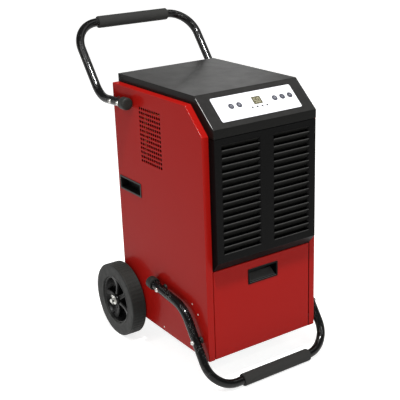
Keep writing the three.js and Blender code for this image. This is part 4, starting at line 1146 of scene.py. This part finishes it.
def split_pin(side):
    """A bent wire: two legs through the axle and an eye above it."""
    x, wire, leg_gap, eye_radius, eye_height, turns = side * 261, 0.85, 0.85, 4.4, 16.1, 20
    shape = Shape()
    for lean in (-1, 1):
        straight, spread = WHEEL_Y + lean * leg_gap, WHEEL_Y + lean * 4.2
        legs = [(x, straight, WHEEL_Z + 12), (x, straight, WHEEL_Z - 8), (x, spread, WHEEL_Z - 14)]
        shape.sweep(bent_path(legs, [5], 6), wire, 10)
    loop = [Vector((x, WHEEL_Y + eye_radius * math.sin(t), WHEEL_Z + eye_height - eye_radius * math.cos(t)))
            for t in (2 * math.pi * k / turns for k in range(turns + 1))]
    stations = [(p, (loop[min(i + 1, turns)] - loop[max(i - 1, 0)]).normalized()) for i, p in enumerate(loop)]
    return shape.sweep(stations, wire + 0.1, 10)


def running_gear():
    """The axle with its wheels, washers and split pins."""
    axle = Shape().lathe([(0, -267), (5.2, -267), (6.4, -266.4), (7, -265.2), (7, 265.2), (6.4, 266.4),
                          (5.2, 267), (0, 267)], 40, aim((0, WHEEL_Y, WHEEL_Z), (1, 0, 0)))
    stand_in("axle", axle, "steel")
    ring = [(7.4, -1), (14.6, -1), (15, -0.6), (15, 0.6), (14.6, 1), (7.8, 1), (7.4, 0.7)]
    for name, side in SIDES:
        wheel, washer = (aim((side * x, WHEEL_Y, WHEEL_Z), (side, 0, 0)) for x in (227.5, 254))
        stand_in(f"{name}_tyre", tyre().moved(wheel), "rubber", f"{name}_wheel")
        stand_in(f"{name}_wheel_hub", wheel_hub(wheel), "hub", f"{name}_wheel")
        stand_in(f"{name}_axle_washer", Shape().lathe(ring, 40, washer, joined=True), "steel")
        stand_in(f"{name}_split_pin", split_pin(side), "steel")


cabinet()
control_face()
carrying_frames()
running_gear()

# ---- CAD nodes that keep their shape
KEPT = {
    "board": ["control_board"], "filter": ["air_filter"], "fins": ["evaporator_coil", "condenser_coil"],
    "fan": ["drip_tray", "level_switch"], "galvanised": ["fan_shroud"], "motor": ["fan_motor"],
    "compressor": ["compressor"],
    "copper": ["suction_accumulator", "suction_pipe", "discharge_pipe", "liquid_line"],
}
for finish_name, nodes in KEPT.items():
    for node in nodes:
        mesh = frame["nodes"][node].data
        mesh.materials.clear()
        mesh.materials.append(MATERIAL[finish_name])


# ---- floor, light and camera, in metres
def round_floor():
    """A pale round floor whose rim sweeps up into a low cyclorama."""
    flat_radius, sweep_radius, sectors, steps = 8.5, 2.4, 96, 16
    profile = [(0, 0), (0.02, 0), (3, 0)]
    for k in range(steps + 1):
        turn = math.radians(90) * k / steps
        profile.append((flat_radius + sweep_radius * math.sin(turn), sweep_radius * (1 - math.cos(turn))))
    shape = Shape().lathe(profile[::-1], sectors)
    mesh = bpy.data.meshes.new("floor")
    shape.bm.to_mesh(mesh)
    mesh.shade_smooth()
    pale = Finish("pale_floor", "cfcfcd", 0.9, specular=0.1, mottle=(0.004, 2), spread=0.02)
    pale.shader.inputs["Emission Color"].default_value = (1.0, 1.0, 1.0, 1.0)
    pale.shader.inputs["Emission Strength"].default_value = 0.78
    mesh.materials.append(pale.done())
    return placed("floor", mesh)


def softbox(name, place, target, size, power):
    """A rectangular area light at a place, facing a target."""
    light = bpy.data.lights.new(name, "AREA")
    light.shape = "RECTANGLE"
    light.size, light.size_y = size
    light.energy = power
    placed(name, light).matrix_world = aim(Vector(place), Vector(place) - Vector(target))


def studio(brightness):
    """An even white surround."""
    world = bpy.data.worlds.new("studio")
    bpy.context.scene.world = world
    world.use_nodes = True
    background = world.node_tree.nodes["Background"]
    background.inputs["Color"].default_value = (1.0, 1.0, 1.0, 1.0)
    background.inputs["Strength"].default_value = brightness


def photo_camera(place, yaw, pitch, roll, lens):
    """Angles in degrees: yaw to the right of straight ahead, pitch down, roll of the picture."""
    data = bpy.data.cameras.new("camera")
    data.lens = lens
    data.sensor_width = 36.0
    data.clip_end = 100.0
    camera = placed("camera", data)
    camera.matrix_world = Matrix.Translation(place)
    for angle, axis in ((-yaw, "Z"), (90 - pitch, "X"), (roll, "Z")):
        camera.matrix_world = camera.matrix_world @ Matrix.Rotation(math.radians(angle), 4, axis)
    bpy.context.scene.camera = camera


floor = round_floor()
studio(brightness=0.24)
softbox("left_strip", (-1.0, 0.0, 1.75), (0, 0.0, 0.9), (1.2, 0.12), 4)
softbox("edge_strip", (-2.0, -0.3, 2.3), (-0.2, -0.3, 0.8), (0.1, 0.9), 7)
softbox("front_key", (0.2, -2.6, 2.4), (0, 0, 0.5), (1.4, 0.1), 14)
softbox("top_key", (-0.5, -1.2, 3.3), (0, -0.2, 0.7), (0.25, 0.25), 145)
softbox("overhead", (1.5, -0.8, 3.0), (0, 0, 0.7), (1.2, 0.8), 9)
softbox("rear_glow", (1.7, 2.7, 1.9), (0, 0, 0.8), (1.4, 0.7), 3.2)
photo_camera((-1.46392, panel_low.y - 1.90556, 1.4062), yaw=33.294, pitch=19.617, roll=-2.110, lens=79.96)
bpy.context.scene.view_settings.view_transform = "Standard"
